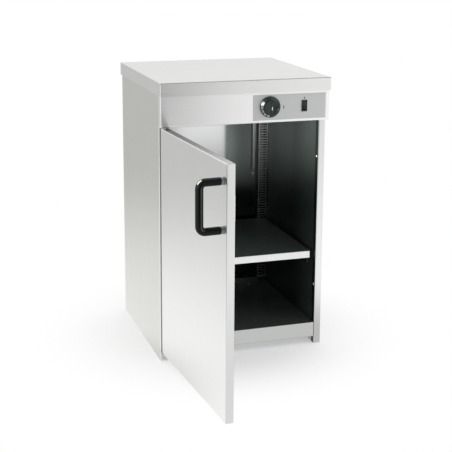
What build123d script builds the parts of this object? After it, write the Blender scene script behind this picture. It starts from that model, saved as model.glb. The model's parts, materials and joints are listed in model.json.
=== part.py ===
from build123d import *
from math import cos, hypot, pi, radians, sin
import os

os.makedirs("parts", exist_ok=True)

# Plate warmer cabinet with one hinged door, in millimetres.
# +X is to the right, +Y to the back, +Z up.
# The origin is on the floor, under the middle of the worktop cover.

# ---------------------------------------------------------------- driving dimensions
cover_width = 400.0
cover_depth = 395.0
cabinet_height = 645.0
cover_rim = 30.0
cover_sheet = 1.2
cover_bend = 2.0

side_overhang = 2.5       # cover's rim to the outside of the side panels
front_setback = 4.2       # cover's front rim to the face of the fascia and the closed door
rear_overhang = 6.0       # cover's rear rim to the rear flanges of the side panels
skin = 1.0                # outer sheet
lining = 0.8              # inner sheet
bend = 1.0                # inside radius of the sheet bends
flange_width = 16.8       # front flanges beside the door opening
hem_depth = 16.0          # hem behind each front flange
rear_flange = 18.0
runner_width = 15.8
seam = 0.2                # gap where one sheet lies beside another

fascia_proud = 0.75       # fascia beyond the side panels, each side
fascia_gap = 0.2          # fascia to the underside of the cover
fascia_show = 68.5        # fascia height under the cover's rim
fascia_tab = 11.0

door_side_gap = 1.25      # door's edge short of the fascia's end, each side
door_thickness = 16.5
door_bottom = 22.5
door_top_gap = 2.7
door_lip = 14.0
door_open_angle = 86.2    # the door stands open at rest
hinge_inset = 7.0         # pivot to the door's hinge edge
hinge_depth = 5.0         # pivot to the door's outer face
hinge_clearance = 0.3
pin_radius = 2.5
pin_reach = 9.0           # how far the pins enter the door
running_gap = 0.05
bush_wall = 1.3
bush_flange = 1.0
bush_collar = 0.9
bracket_sheet = 3.0
bracket_leg = 18.0
bracket_screw_drops = (7.3, 14.3)

handle_inset = 19.5       # grip axis to the door's free edge
handle_drop = 83.8        # door's top to the grip's middle
handle_span = 96.0        # between the two feet
handle_reach = 56.5       # door face to the outside of the grip
grip_radius = 8.0
grip_bend = 12.0
ferrule_length = 6.0
ferrule_radius = 7.6
handle_screw_radius = 2.4
handle_screw_head = 4.5
handle_screw_rise = 1.8

deck_level = 53.2
deck_lip = 36.3
deck_gap = 1.3            # deck to the front flanges
lip_return = 24.0
plate_flange = 12.0       # turned edges of base plate, ceiling and back liner
liner_turn = 13.0         # turned edges of the side liners
back_cavity = 15.0        # room behind the back liner
upright_gap = 0.5         # uprights to the side liners

upright_width = 26.0
upright_depth = 14.0
upright_bottom = 62.0
slot_width = 21.5
slot_height = 4.2
slot_pitch = 6.75
slot_margin = 9.0

shelf_top = 226.5
shelf_lip = 16.8
shelf_side_gap = 5.9      # shelf to the front flanges' planes
shelf_front = 36.4        # shelf to the face of the door
shelf_rear_gap = 2.0      # shelf to the uprights
bracket_plate = 2.0
bracket_inset = 4.0       # bracket plate to the shelf's side
bracket_deep = 54.0
bracket_shallow = 30.0
bracket_front_gap = 4.0
bracket_clearance = 0.5   # notch in the shelf's rear lip, each side
hook_height = 2.8

guard_side_gap = 30.7     # guard's end to the side opening
guard_depth = 33.0
guard_height = 17.0
guard_foot = 6.0
guard_slots = 11
guard_slot_size = (16.0, 3.0)
tube_radius = 3.25
tube_height = 8.4         # element axis above the deck
tube_spacing = 14.0
tube_back_gap = 10.0
tube_end_gap = 18.0       # element's turn inside the guard's end
terminal_inset = 20.0     # first cold end inside the guard's end
terminal_pitch = 25.0
terminal_out = 8.0        # tube ends behind the back liner
stud_radius = 1.5
stud_length = 3.5
clip_width = 10.0
clip_inset = 65.0         # clip inside the guard's end

sensor_inset = 35.1       # bulb to the side opening
sensor_guard_width = 9.2
sensor_guard_depth = 8.0
sensor_guard_length = 190.5
sensor_tab = 21.0
sensor_screw_drop = 12.5
bulb_radius = 3.2
bulb_length = 90.0
bulb_drop = 182.5         # ceiling to the bulb's lower end
bulb_gap = 0.4
capillary_radius = 0.8
capillary_bend = 12.0

panel_plate = 0.6         # control plate on the fascia
panel_width = 174.7
panel_height = 57.6
panel_side = 9.75         # plate's edge to the fascia's end
panel_lift = 5.9          # plate's lower edge above the fascia's
dial_inset = 40.3         # dial's axis inside the plate's left edge
dial_lift = 35.9          # above the fascia's lower edge
dial_radius = 24.0
dial_rim = 2.2
dial_cone = 5.5
cap_radius = 17.5
knob_reach = 15.0
knob_gap = 0.5
shaft_radius = 3.0
shaft_clearance = 1.0
thermostat_size = 44.0
thermostat_depth = 22.0
switch_inset = 52.0       # switch's axis inside the plate's right edge
switch_lift = 35.3
bezel_size = (13.0, 26.0)
bezel_rise = 2.2
switch_body = (11.0, 23.0)
switch_depth = 22.0
rocker_size = (8.4, 17.2)
rocker_pocket = (9.2, 19.2)
rocker_angle = 8.0        # each way from the middle
rocker_rise = 1.6
rocker_pin = 1.0
rocker_pin_length = 0.5
rocker_pivot_depth = 2.0  # pivot behind the control plate's face

wool_side_rear = 6.0
wool_back_lift = 36.8     # above the deck
wool_wire_gap = 13.0
wool_top = 25.0
wool_top_front = 45.0     # clear of the controls
wool_top_rear = 12.0
wool_deck = 26.0

gland_inset = 142.5       # gland's axis to the right side of the carcass
gland_lift = 51.5         # above the fascia's lower edge
gland_bore = 4.0
gland_radius = 11.0
gland_neck = 8.0
gland_length = 14.0
gland_nut = 5.0
block_size = (46.0, 16.0, 20.0)
block_inset = 80.0
block_lift = 53.5
wire_radius = 1.2
wire_bend = 14.0
wire_clearance = 0.8

screw_head = 3.4
screw_rise = 1.6
screw_shank = 1.6
screw_clearance = 0.1
screw_length = 7.0
rear_screw_margins = (53.1, 11.5)   # from the back panel's lower edge and the fascia's
rear_screw_rows = 4
rivet_head = 3.2
magnet_size = (12.0, 11.0, 50.0)
magnet_insets = (124.0, 86.8)   # from the door's lower and upper edges
magnet_rivet_y = 8.5
strike_sheet = 1.0

# ---------------------------------------------------------------- planes and edges that follow
cover_front = -cover_depth / 2
cover_back = cover_depth / 2
cover_underside = cabinet_height - cover_sheet
carcass_width = cover_width - 2 * side_overhang
fascia_width = carcass_width + 2 * fascia_proud
door_width = fascia_width - 2 * door_side_gap
face_y = cover_front + front_setback
pivot_y = face_y + hinge_depth
corner_swing = hypot(hinge_inset - bend, door_thickness - hinge_depth - bend) + bend
flange_y = pivot_y + corner_swing + hinge_clearance
back_y = cover_back - rear_overhang
half_carcass = carcass_width / 2
screw_hole = screw_shank + screw_clearance
handle_screw_hole = handle_screw_radius + screw_clearance
bush_bore = pin_radius + running_gap
opening_half = half_carcass - flange_width
liner_x = opening_half + skin
back_liner_y = back_y - back_cavity

fascia_bottom = cabinet_height - cover_rim - fascia_show
ceiling_z = fascia_bottom + skin
door_top = fascia_bottom - door_top_gap
door_height = door_top - door_bottom
pivot_x = hinge_inset - door_width / 2
lip_bottom = deck_level - deck_lip
base_z = lip_bottom + skin
deck_half = opening_half - deck_gap
magnet_heights = (door_bottom + magnet_insets[0], door_top - magnet_insets[1])

shelf_half = opening_half - shelf_side_gap
shelf_front_y = face_y + shelf_front
upright_face_y = back_liner_y - upright_depth
upright_x = liner_x - upright_gap - upright_width / 2
shelf_back_y = upright_face_y - shelf_rear_gap

plate_y = face_y - panel_plate
panel_right = fascia_width / 2 - panel_side
panel_left = panel_right - panel_width
panel_bottom = fascia_bottom + panel_lift
panel_top = panel_bottom + panel_height
dial_x = panel_left + dial_inset
dial_z = fascia_bottom + dial_lift
dial_at = [(dial_x, dial_z)]
switch_x = panel_right - switch_inset
switch_z = fascia_bottom + switch_lift
door_inner = door_thickness - hinge_depth        # inner face, measured from the pivot
lip_face = door_inner - skin
element_z = deck_level + tube_height
element_y = back_liner_y - tube_back_gap
sensor_y = back_liner_y - bulb_radius - bulb_gap
sensor_x = opening_half - sensor_inset
sensor_guard_bottom = ceiling_z - sensor_guard_length
bulb_bottom = ceiling_z - bulb_drop
guard_width = 2 * (opening_half - guard_side_gap)
terminal_right = guard_width / 2 - terminal_inset
terminal_left = terminal_right - terminal_pitch
tube_reach = guard_width / 2 - tube_end_gap
clip_offset = guard_width / 2 - clip_inset
gland_x, gland_z = half_carcass - gland_inset, fascia_bottom + gland_lift
block_x, block_z = half_carcass - block_inset, fascia_bottom + block_lift
block_front = back_y - block_size[1]


# ---------------------------------------------------------------- construction helpers
def level(z):
    """Horizontal plane at a height."""
    return Plane.XY.offset(z)


def facing_front(y):
    """Upright plane whose normal points to the front; its local axes are X and Z."""
    return Plane.XZ.offset(-y)


def facing_right(x):
    """Upright plane whose normal points to the right; its local axes are Y and Z."""
    return Plane.YZ.offset(x)


def door_level(z):
    """Horizontal plane at the pivot, turned with the open door: local x runs to the free edge, y inwards."""
    turn = radians(-door_open_angle)
    return Plane(origin=(pivot_x, pivot_y, z), x_dir=(cos(turn), sin(turn), 0), z_dir=(0, 0, 1))


def door_facing_out(depth):
    """Plane parallel to the door's face, that far inside the pivot; local X runs to the free edge."""
    base = door_level(0)
    origin = base.origin + base.y_dir * depth
    return Plane(origin=origin, x_dir=base.x_dir, z_dir=-base.y_dir)


def block(low, high, mode=Mode.ADD):
    """Box between two opposite corners."""
    size = [b - a for a, b in zip(low, high)]
    centre = tuple((a + b) / 2 for a, b in zip(low, high))
    with Locations(centre):
        Box(*size, mode=mode)


def slab(plane, low, high, thickness, mode=Mode.ADD):
    """Plate between two corners of a plane, thickened along the plane's normal."""
    with BuildSketch(plane, mode=Mode.PRIVATE) as outline:
        with Locations(((low[0] + high[0]) / 2, (low[1] + high[1]) / 2)):
            Rectangle(high[0] - low[0], high[1] - low[1])
    extrude(outline.sketch, amount=thickness, mode=mode)


def discs(plane, centres, radius, thickness, mode=Mode.ADD):
    """Round bars or holes at several centres of a plane."""
    with BuildSketch(plane, mode=Mode.PRIVATE) as outline:
        with Locations(*centres):
            Circle(radius)
    extrude(outline.sketch, amount=thickness, mode=mode)


def holes(plane, centres, radius, depth):
    """Round holes at several centres of a plane, cut along its normal."""
    discs(plane, centres, radius, depth, mode=Mode.SUBTRACT)


def cut_slab(plane, low, high, depth):
    """Rectangular cut between two corners of a plane, along its normal."""
    slab(plane, low, high, depth, mode=Mode.SUBTRACT)


def bent_section(points, thickness):
    """Section of a sheet that is bent along its middle line."""
    with BuildSketch(mode=Mode.PRIVATE) as section:
        with BuildLine():
            FilletPolyline(*points, radius=bend + thickness / 2)
        trace(line_width=thickness)
    return section.sketch


def bent_sheet(plane, points, thickness, length, both=False):
    """Bent sheet: its section on a plane, carried along the plane's normal."""
    with BuildSketch(plane, mode=Mode.PRIVATE) as section:
        add(bent_section(points, thickness))
    extrude(section.sketch, amount=length, both=both)


def pan_screws(plane, centres):
    """Pan-head screws seated on a plane, their heads along its normal."""
    discs(plane, centres, screw_head, screw_rise)
    fillet(edges().filter_by(GeomType.CIRCLE).group_by(Axis(plane.origin, plane.z_dir))[-1], 0.9)
    discs(plane, centres, screw_shank, -screw_length)


def rod(points, radius, corner):
    """Round rod or wire along a path with rounded corners."""
    with BuildLine(mode=Mode.PRIVATE) as path:
        FilletPolyline(*points, radius=corner)
    with BuildSketch(Plane(origin=path.line @ 0, z_dir=path.line % 0), mode=Mode.PRIVATE) as end:
        Circle(radius)
    sweep(end.sketch, path=path.line)


def finish(part, name):
    """Names a piece and writes it."""
    part.label = name
    export_step(part, f"parts/{name}.step")


# ---------------------------------------------------------------- worktop cover
with BuildPart() as top_cover:
    low = (-cover_width / 2, cover_front, cabinet_height - cover_rim)
    block(low, (cover_width / 2, cover_back, cabinet_height))
    fillet(edges().filter_by(Axis.Z), cover_bend)
    fillet(faces().sort_by(Axis.Z)[-1].edges(), cover_bend)
    offset(amount=-cover_sheet, openings=faces().sort_by(Axis.Z)[0])
finish(top_cover.part, "top_cover")

# ---------------------------------------------------------------- side walls: skin, liner and wool
rear_screw_low = lip_bottom + rear_screw_margins[0]
rear_screw_pitch = (fascia_bottom - rear_screw_margins[1] - rear_screw_low) / (rear_screw_rows - 1)
rear_screw_heights = [rear_screw_low + row * rear_screw_pitch for row in range(rear_screw_rows)]
rear_screw_x = half_carcass - rear_flange / 2
rear_screws = [(side * rear_screw_x, z) for side in (-1, 1) for z in rear_screw_heights]
bracket_top = door_bottom - bush_flange - seam
bracket_screws = [(pivot_x, bracket_top - drop) for drop in bracket_screw_drops]
magnet_rivets_at = [(flange_y + magnet_rivet_y, z) for z in magnet_heights]


def side_panel(side):
    """Outer skin: side wall, front flange with its hem, rear flange, runner and top flange."""
    flange = side * (opening_half + skin / 2)
    wall = side * (half_carcass - skin / 2)
    rear_edge = side * (half_carcass - rear_flange)
    section = [
        (flange, flange_y + hem_depth),
        (flange, flange_y + skin / 2),
        (wall, flange_y + skin / 2),
        (wall, back_y - skin / 2),
        (rear_edge, back_y - skin / 2),
    ]
    x_low, x_high = sorted((side * (half_carcass - skin), side * (half_carcass - runner_width)))
    with BuildPart() as panel:
        bent_sheet(level(0), section, skin, cover_underside)
        for z in (0, cover_underside - skin):
            block((x_low, flange_y + skin, z), (x_high, back_y - skin, z + skin))
        holes(facing_front(back_y + 1), rear_screws, screw_hole, 2 + skin)
        if side < 0:
            holes(facing_front(flange_y + 2 * skin), bracket_screws, screw_hole, 3 * skin)
        else:
            holes(facing_right(opening_half - 1), magnet_rivets_at, screw_hole, 2 * skin)
    return panel.part


def side_liner(side):
    """Inner skin behind the hem, with both its upright edges turned outwards."""
    wall = side * (liner_x + lining / 2)
    turned = side * (liner_x + liner_turn)
    section = [
        (turned, flange_y + skin + lining / 2),
        (wall, flange_y + skin + lining / 2),
        (wall, back_y - skin - lining / 2),
        (turned, back_y - skin - lining / 2),
    ]
    with BuildPart() as liner:
        bent_sheet(level(skin), section, lining, cover_underside - 2 * skin)
        holes(facing_front(back_y), rear_screws, screw_hole, 4 * skin)
        if side < 0:
            holes(facing_front(flange_y + 3 * skin), bracket_screws, screw_hole, 3 * skin)
        else:
            holes(facing_right(liner_x - 1), magnet_rivets_at, screw_hole, 2 * skin)
    return liner.part


def side_wool(side):
    """Slab of mineral wool between skin and liner, behind the turned edge and the magnets."""
    x_low, x_high = sorted((side * (liner_x + lining), side * (half_carcass - skin)))
    front = flange_y + skin + lining + magnet_size[1] + seam
    rear = back_y - skin - lining - wool_side_rear
    with BuildPart() as wool:
        block((x_low, front, skin), (x_high, rear, fascia_bottom))
    return wool.part


for side, side_name in ((-1, "left"), (1, "right")):
    finish(side_panel(side), f"{side_name}_side_panel")
    finish(side_liner(side), f"{side_name}_liner")
    finish(side_wool(side), f"insulation_{side_name}")

# ---------------------------------------------------------------- base: outer plate, deck and wool
plate_half = liner_x - lining / 2
with BuildPart() as base_plate:
    section = [
        (-plate_half, base_z + plate_flange),
        (-plate_half, base_z + lining / 2),
        (plate_half, base_z + lining / 2),
        (plate_half, base_z + plate_flange),
    ]
    bent_sheet(facing_front(back_y - skin), section, lining, back_y - skin - flange_y - hem_depth - seam)
finish(base_plate.part, "base_plate")

deck_underside = base_z + lining
with BuildPart() as bottom_deck:
    section = [
        (flange_y + lip_return, lip_bottom + skin / 2),
        (flange_y + skin / 2, lip_bottom + skin / 2),
        (flange_y + skin / 2, deck_level - skin / 2),
        (back_liner_y, deck_level - skin / 2),
    ]
    bent_sheet(facing_right(-deck_half), section, skin, 2 * deck_half)
    for side in (-1, 1):
        x_low, x_high = sorted((side * deck_half, side * (deck_half - skin)))
        block((x_low, flange_y + skin, deck_underside), (x_high, back_liner_y, deck_level - skin))
finish(bottom_deck.part, "bottom_deck")

with BuildPart() as insulation_bottom:
    front = flange_y + hem_depth + 2 * skin
    low = (skin - deck_half, front, deck_underside)
    block(low, (deck_half - skin, back_liner_y, deck_underside + wool_deck))
finish(insulation_bottom.part, "insulation_bottom")

# ---------------------------------------------------------------- back: liner, outer panel and wool
terminals_at = [(terminal_left, element_z), (terminal_right, element_z)]
with BuildPart() as back_liner:
    section = [
        (-plate_half, back_y - 2 * skin),
        (-plate_half, back_liner_y + lining / 2),
        (plate_half, back_liner_y + lining / 2),
        (plate_half, back_y - 2 * skin),
    ]
    bent_sheet(level(deck_underside), section, lining, ceiling_z - deck_underside)
    notch = plate_flange - lining + 2 * seam
    for side in (-1, 1):
        x_low, x_high = sorted((side * (liner_x + 1), side * (liner_x - lining - bend - seam)))
        low = (x_low, back_liner_y - 1, deck_underside - 1)
        block(low, (x_high, back_y, deck_underside + notch), Mode.SUBTRACT)
    holes(facing_front(back_liner_y + 2), terminals_at, tube_radius + running_gap, 3)
finish(back_liner.part, "back_liner")

with BuildPart() as back_panel:
    low = (-half_carcass + skin, lip_bottom)
    high = (half_carcass - skin, cover_underside - skin)
    slab(facing_front(back_y + skin), low, high, skin)
    fillet(edges().filter_by(Axis.Y), 3)
    holes(facing_front(back_y + skin + 1), rear_screws, screw_hole, skin + 2)
    holes(facing_front(back_y + skin + 1), [(gland_x, gland_z)], gland_neck + running_gap, skin + 2)
finish(back_panel.part, "back_panel")

with BuildPart() as insulation_back:
    low = (lining + bend - liner_x, back_liner_y + lining, deck_level + wool_back_lift)
    block(low, (terminal_left - wool_wire_gap, back_y - skin, ceiling_z - skin))
finish(insulation_back.part, "insulation_back")

with BuildPart() as back_panel_screws:
    pan_screws(facing_front(back_y + skin).rotated((180, 0, 0)), [(x, -z) for x, z in rear_screws])
finish(back_panel_screws.part, "back_panel_screws")

# ---------------------------------------------------------------- ceiling and its wool
ceiling_half = opening_half - seam
wires_at = [(terminal_left, back_y - 4.5), (terminal_right, back_y - 4.5)]
with BuildPart() as ceiling_liner:
    section = [
        (lining / 2 - ceiling_half, ceiling_z + plate_flange),
        (lining / 2 - ceiling_half, ceiling_z + lining / 2),
        (ceiling_half - lining / 2, ceiling_z + lining / 2),
        (ceiling_half - lining / 2, ceiling_z + plate_flange),
    ]
    depth = back_y - skin - seam - (flange_y - fascia_tab - 4)
    bent_sheet(facing_front(back_y - skin - seam), section, lining, depth)
    holes(level(ceiling_z - 1), [*wires_at, (sensor_x, sensor_y)], wire_radius + wire_clearance, 3)
finish(ceiling_liner.part, "ceiling_liner")

with BuildPart() as insulation_top:
    low = (lining + bend - ceiling_half, face_y + wool_top_front, ceiling_z + lining)
    high = (ceiling_half - lining - bend, back_liner_y - wool_top_rear, ceiling_z + lining + wool_top)
    block(low, high)
finish(insulation_top.part, "insulation_top")

# ---------------------------------------------------------------- fascia and control plate


def around_switch(size, margin=0.0):
    """Lower left and upper right corner of a rectangle about the switch's axis."""
    half_w, half_h = size[0] / 2 + margin, size[1] / 2 + margin
    return [(switch_x + side * half_w, switch_z + side * half_h) for side in (-1, 1)]


switch_cutout = around_switch(switch_body, seam)
with BuildPart() as fascia:
    fascia_top = cover_underside - fascia_gap
    block((-fascia_width / 2, face_y, fascia_bottom), (fascia_width / 2, flange_y, fascia_top))
    fillet(edges().filter_by(Axis.Z).group_by(Axis.Y)[0], bend + skin)
    fillet(edges().filter_by(Axis.X).group_by(Axis.Y)[0].sort_by(Axis.Z)[0], bend + skin)
    offset(amount=-skin, openings=faces().sort_by(Axis.Y)[-1])
    for side in (-1, 1):
        outer = fascia_width / 2 - skin
        x_low, x_high = sorted((side * outer, side * (outer - fascia_tab)))
        block((x_low, flange_y - skin, ceiling_z), (x_high, flange_y, fascia_top - skin))
    holes(facing_front(face_y + 2), dial_at, shaft_radius + shaft_clearance, 4)
    cut_slab(facing_front(face_y + 2), *switch_cutout, 4)
    holes(level(fascia_bottom - 1), [(pivot_x, pivot_y)], pin_radius + running_gap, 3)
finish(fascia.part, "fascia")

with BuildPart() as control_plate:
    slab(facing_front(face_y), (panel_left, panel_bottom), (panel_right, panel_top), panel_plate)
    holes(facing_front(face_y + 1), dial_at, shaft_radius + shaft_clearance, 4)
    cut_slab(facing_front(face_y + 1), *switch_cutout, 4)
finish(control_plate.part, "control_plate")


# ---------------------------------------------------------------- uprights, brackets and shelf
def slot_heights():
    """Middle heights of the slots in an upright, from the bottom one up."""
    span = ceiling_z - upright_bottom - 2 * slot_margin
    count = int(span // slot_pitch) + 1
    return [upright_bottom + slot_margin + i * slot_pitch for i in range(count)]


def upright(side):
    """Channel on the back liner, with a ladder of slots for the shelf brackets."""
    with BuildPart() as channel:
        middle = side * upright_x
        half = (upright_width - skin) / 2
        section = [
            (middle - half, back_liner_y),
            (middle - half, upright_face_y + skin / 2),
            (middle + half, upright_face_y + skin / 2),
            (middle + half, back_liner_y),
        ]
        bent_sheet(level(upright_bottom), section, skin, ceiling_z - upright_bottom)
        with BuildSketch(facing_front(upright_face_y + 3), mode=Mode.PRIVATE) as slots:
            with Locations(*[(middle, z) for z in slot_heights()]):
                Rectangle(slot_width, slot_height)
        extrude(slots.sketch, amount=5, mode=Mode.SUBTRACT)
    return channel.part


under_shelf = shelf_top - lining
hook_slots = [z for z in slot_heights() if z + hook_height < under_shelf][-4::3]
bracket_x = shelf_half - lining - bracket_inset - bracket_plate / 2


def shelf_bracket(side):
    """Upright plate under the shelf, deeper at the back, with two hooks in the upright's slots."""
    with BuildPart() as bracket:
        with BuildSketch(facing_right(side * bracket_x - bracket_plate / 2), mode=Mode.PRIVATE) as web:
            with BuildLine():
                Polyline(
                    (upright_face_y, under_shelf),
                    (upright_face_y, under_shelf - bracket_deep),
                    (shelf_front_y + bracket_front_gap, under_shelf - bracket_shallow),
                    (shelf_front_y + bracket_front_gap, under_shelf),
                    close=True,
                )
            make_face()
            for z in hook_slots:
                with Locations((upright_face_y + 1.5, z)):
                    Rectangle(3, hook_height)
                with Locations((upright_face_y + 2.4, z - 1.5)):
                    Rectangle(1.2, hook_height)
        extrude(web.sketch, amount=bracket_plate)
    return bracket.part


for side, side_name in ((-1, "left"), (1, "right")):
    finish(upright(side), f"{side_name}_upright")
    finish(shelf_bracket(side), f"{side_name}_bracket")

with BuildPart() as shelf:
    block((-shelf_half, shelf_front_y, shelf_top - shelf_lip), (shelf_half, shelf_back_y, shelf_top))
    fillet(edges().filter_by(Axis.Z), bend + lining)
    fillet(faces().sort_by(Axis.Z)[-1].edges(), bend + lining / 2)
    offset(amount=-lining, openings=faces().sort_by(Axis.Z)[0])
    notch = bracket_plate / 2 + bracket_clearance
    for side in (-1, 1):
        block((side * bracket_x - notch, shelf_back_y - bend - 2 * lining, shelf_top - shelf_lip - 1),
              (side * bracket_x + notch, shelf_back_y + 1, under_shelf), Mode.SUBTRACT)
finish(shelf.part, "shelf")

# ---------------------------------------------------------------- heater at the back of the deck
guard_front = back_liner_y - guard_depth
with BuildPart() as heater_guard:
    guard_top = deck_level + guard_height
    block((-guard_width / 2, guard_front, deck_level), (guard_width / 2, back_liner_y, guard_top))
    fillet(edges().filter_by(Axis.X).group_by(Axis.Y)[0].sort_by(Axis.Z)[-1], bend + lining)
    inner = guard_width / 2 - lining
    low = (-inner, guard_front + lining, deck_level)
    block(low, (inner, back_liner_y, guard_top - lining), Mode.SUBTRACT)
    block((-guard_width / 2, guard_front - guard_foot, deck_level),
          (guard_width / 2, guard_front + lining, deck_level + lining))
    with BuildSketch(level(deck_level + guard_height - 2), mode=Mode.PRIVATE) as vents:
        with Locations((0, (guard_front + back_liner_y) / 2)):
            with GridLocations(guard_width / guard_slots, 9, guard_slots, 2):
                SlotOverall(*guard_slot_size)
    extrude(vents.sketch, amount=4, mode=Mode.SUBTRACT)
    guard_screws_at = [(x * guard_width * 0.42, guard_front - guard_foot / 2) for x in (-1, 0, 1)]
    holes(level(deck_level), guard_screws_at, screw_hole, 2)
finish(heater_guard.part, "heater_guard")

with BuildPart() as guard_screws:
    discs(level(deck_level + lining), guard_screws_at, 2.6, screw_rise)
    discs(level(deck_level + lining), guard_screws_at, screw_shank, -lining)
finish(guard_screws.part, "guard_screws")

far_run = element_y - tube_spacing
tube_end = back_liner_y + terminal_out
with BuildPart() as heating_element:
    route = [
        (terminal_left, tube_end, element_z),
        (terminal_left, element_y, element_z),
        (-tube_reach, element_y, element_z),
        (-tube_reach, far_run, element_z),
        (terminal_right, far_run, element_z),
        (terminal_right, tube_end, element_z),
    ]
    rod(route, tube_radius, tube_spacing / 2 - 0.1)
finish(heating_element.part, "heating_element")

with BuildPart() as heater_terminals:
    discs(facing_front(tube_end + stud_length), terminals_at, stud_radius, stud_length)
finish(heater_terminals.part, "heater_terminals")

with BuildPart() as heater_clips:
    for x in (-clip_offset, clip_offset):
        low = (x - clip_width / 2, far_run - tube_radius - 1.5, deck_level)
        block(low, (x + clip_width / 2, element_y + tube_radius + 1.5, element_z + tube_radius + 1.5))
    runs = [(far_run, element_z), (element_y, element_z)]
    reach = clip_offset + clip_width
    holes(facing_right(-reach), runs, tube_radius + running_gap, 2 * reach)
finish(heater_clips.part, "heater_clips")

# ---------------------------------------------------------------- thermostat: body, bulb, capillary and knob
thermostat_front = face_y + skin
thermostat_back = thermostat_front + thermostat_depth
with BuildPart() as thermostat_body:
    half = thermostat_size / 2
    block((dial_x - half, thermostat_front, dial_z - half), (dial_x + half, thermostat_back, dial_z + half))
    fillet(edges().filter_by(Axis.Y), 4)
    holes(facing_front(thermostat_front), dial_at, shaft_radius + running_gap, 4 - thermostat_depth)
finish(thermostat_body.part, "thermostat_body")

knob_back = plate_y - knob_gap
knob_front = knob_back - knob_reach
with BuildPart() as thermostat_shaft:
    shaft_end = thermostat_back - 5
    discs(facing_front(shaft_end), dial_at, shaft_radius, shaft_end - knob_front - 3)
finish(thermostat_shaft.part, "thermostat_shaft")

with BuildPart() as knob_dial:
    with BuildSketch(facing_right(dial_x)) as profile:
        with BuildLine():
            Polyline(
                (knob_back, dial_z),
                (knob_back, dial_z + dial_radius),
                (knob_back - dial_rim, dial_z + dial_radius),
                (knob_back - dial_cone, dial_z + cap_radius),
                (knob_back - dial_cone, dial_z),
                close=True,
            )
        make_face()
    revolve(axis=Axis((dial_x, 0, dial_z), (0, 1, 0)))
    holes(facing_front(knob_back + 1), dial_at, shaft_radius + running_gap, knob_reach)
finish(knob_dial.part, "knob_dial")

with BuildPart() as knob_cap:
    discs(facing_front(knob_back - dial_cone), dial_at, cap_radius, knob_reach - dial_cone)
    fillet(edges().filter_by(GeomType.CIRCLE).sort_by(Axis.Y)[0], 2)
    holes(facing_front(knob_back), dial_at, shaft_radius + running_gap, knob_reach - 3)
finish(knob_cap.part, "knob_cap")

bulb_top = bulb_bottom + bulb_length
with BuildPart() as sensor_bulb:
    discs(level(bulb_bottom), [(sensor_x, sensor_y)], bulb_radius, bulb_length)
    fillet(edges().filter_by(GeomType.CIRCLE), 1.5)
finish(sensor_bulb.part, "sensor_bulb")

capillary_level = ceiling_z + lining + wool_top + 8.0
with BuildPart() as capillary_tube:
    route = [
        (sensor_x, sensor_y, bulb_top),
        (sensor_x, sensor_y, capillary_level),
        (sensor_x - 40, 30, capillary_level),
        (dial_x, thermostat_back + 45, dial_z + 8),
        (dial_x, thermostat_back, dial_z + 8),
    ]
    rod(route, capillary_radius, capillary_bend)
finish(capillary_tube.part, "capillary_tube")

sensor_left = sensor_x - sensor_guard_width / 2
sensor_right = sensor_x + sensor_guard_width / 2
sensor_front = back_liner_y - sensor_guard_depth
sensor_screw_at = [(sensor_x, sensor_guard_bottom - sensor_screw_drop)]
with BuildPart() as sensor_guard:
    section = [
        (sensor_left + lining / 2, back_liner_y),
        (sensor_left + lining / 2, sensor_front + lining / 2),
        (sensor_right - lining / 2, sensor_front + lining / 2),
        (sensor_right - lining / 2, back_liner_y),
    ]
    bent_sheet(level(sensor_guard_bottom), section, lining, ceiling_z - sensor_guard_bottom)
    block((sensor_left, back_liner_y - lining, sensor_guard_bottom - sensor_tab),
          (sensor_right, back_liner_y, sensor_guard_bottom + lining))
    holes(facing_front(back_liner_y), sensor_screw_at, screw_hole, 2)
finish(sensor_guard.part, "sensor_guard")

with BuildPart() as sensor_screw:
    discs(facing_front(back_liner_y - lining), sensor_screw_at, 2.9, screw_rise)
    fillet(edges().filter_by(GeomType.CIRCLE).sort_by(Axis.Y)[0], 0.9)
    discs(facing_front(back_liner_y), sensor_screw_at, screw_shank, lining)
finish(sensor_screw.part, "sensor_screw")

# ---------------------------------------------------------------- rocker switch
bezel_front = plate_y - bezel_rise
rocker_y = plate_y + rocker_pivot_depth
with BuildPart() as switch_housing:
    slab(facing_front(plate_y), *around_switch(bezel_size), bezel_rise)
    fillet(faces().sort_by(Axis.Y)[0].edges(), 0.8)
    slab(facing_front(plate_y + switch_depth), *around_switch(switch_body), switch_depth)
    pocket_floor = rocker_y + 5
    cut_slab(facing_front(pocket_floor), *around_switch(rocker_pocket), pocket_floor - bezel_front + 1)
    pin_bore = rocker_pocket[0] / 2 + rocker_pin_length + 0.1
    holes(facing_right(switch_x - pin_bore), [(rocker_y, switch_z)], rocker_pin + running_gap, 2 * pin_bore)
finish(switch_housing.part, "switch_housing")

with BuildPart() as switch_rocker:
    reach = bezel_front - rocker_rise - rocker_y
    half_h = rocker_size[1] / 2
    tilt = rocker_angle * pi / 180
    with BuildSketch(facing_right(switch_x - rocker_size[0] / 2), mode=Mode.PRIVATE) as profile:
        with BuildLine():
            Polyline(
                (rocker_y, switch_z - half_h + 3),
                (rocker_y - 2, switch_z - half_h),
                (rocker_y + reach + half_h * tilt * 0.2, switch_z - half_h),
                (rocker_y + reach + half_h * tilt, switch_z),
                (rocker_y + reach + half_h * tilt * 0.2, switch_z + half_h),
                (rocker_y - 2, switch_z + half_h),
                (rocker_y, switch_z + half_h - 3),
                (rocker_y + 3, switch_z),
                close=True,
            )
        make_face()
    tilted = profile.sketch.rotate(Axis((0, rocker_y, switch_z), (1, 0, 0)), -rocker_angle)
    extrude(tilted, amount=rocker_size[0])
    pin_end = rocker_pocket[0] / 2 + rocker_pin_length
    discs(facing_right(switch_x - pin_end), [(rocker_y, switch_z)], rocker_pin, 2 * pin_end)
finish(switch_rocker.part, "switch_rocker")

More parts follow.
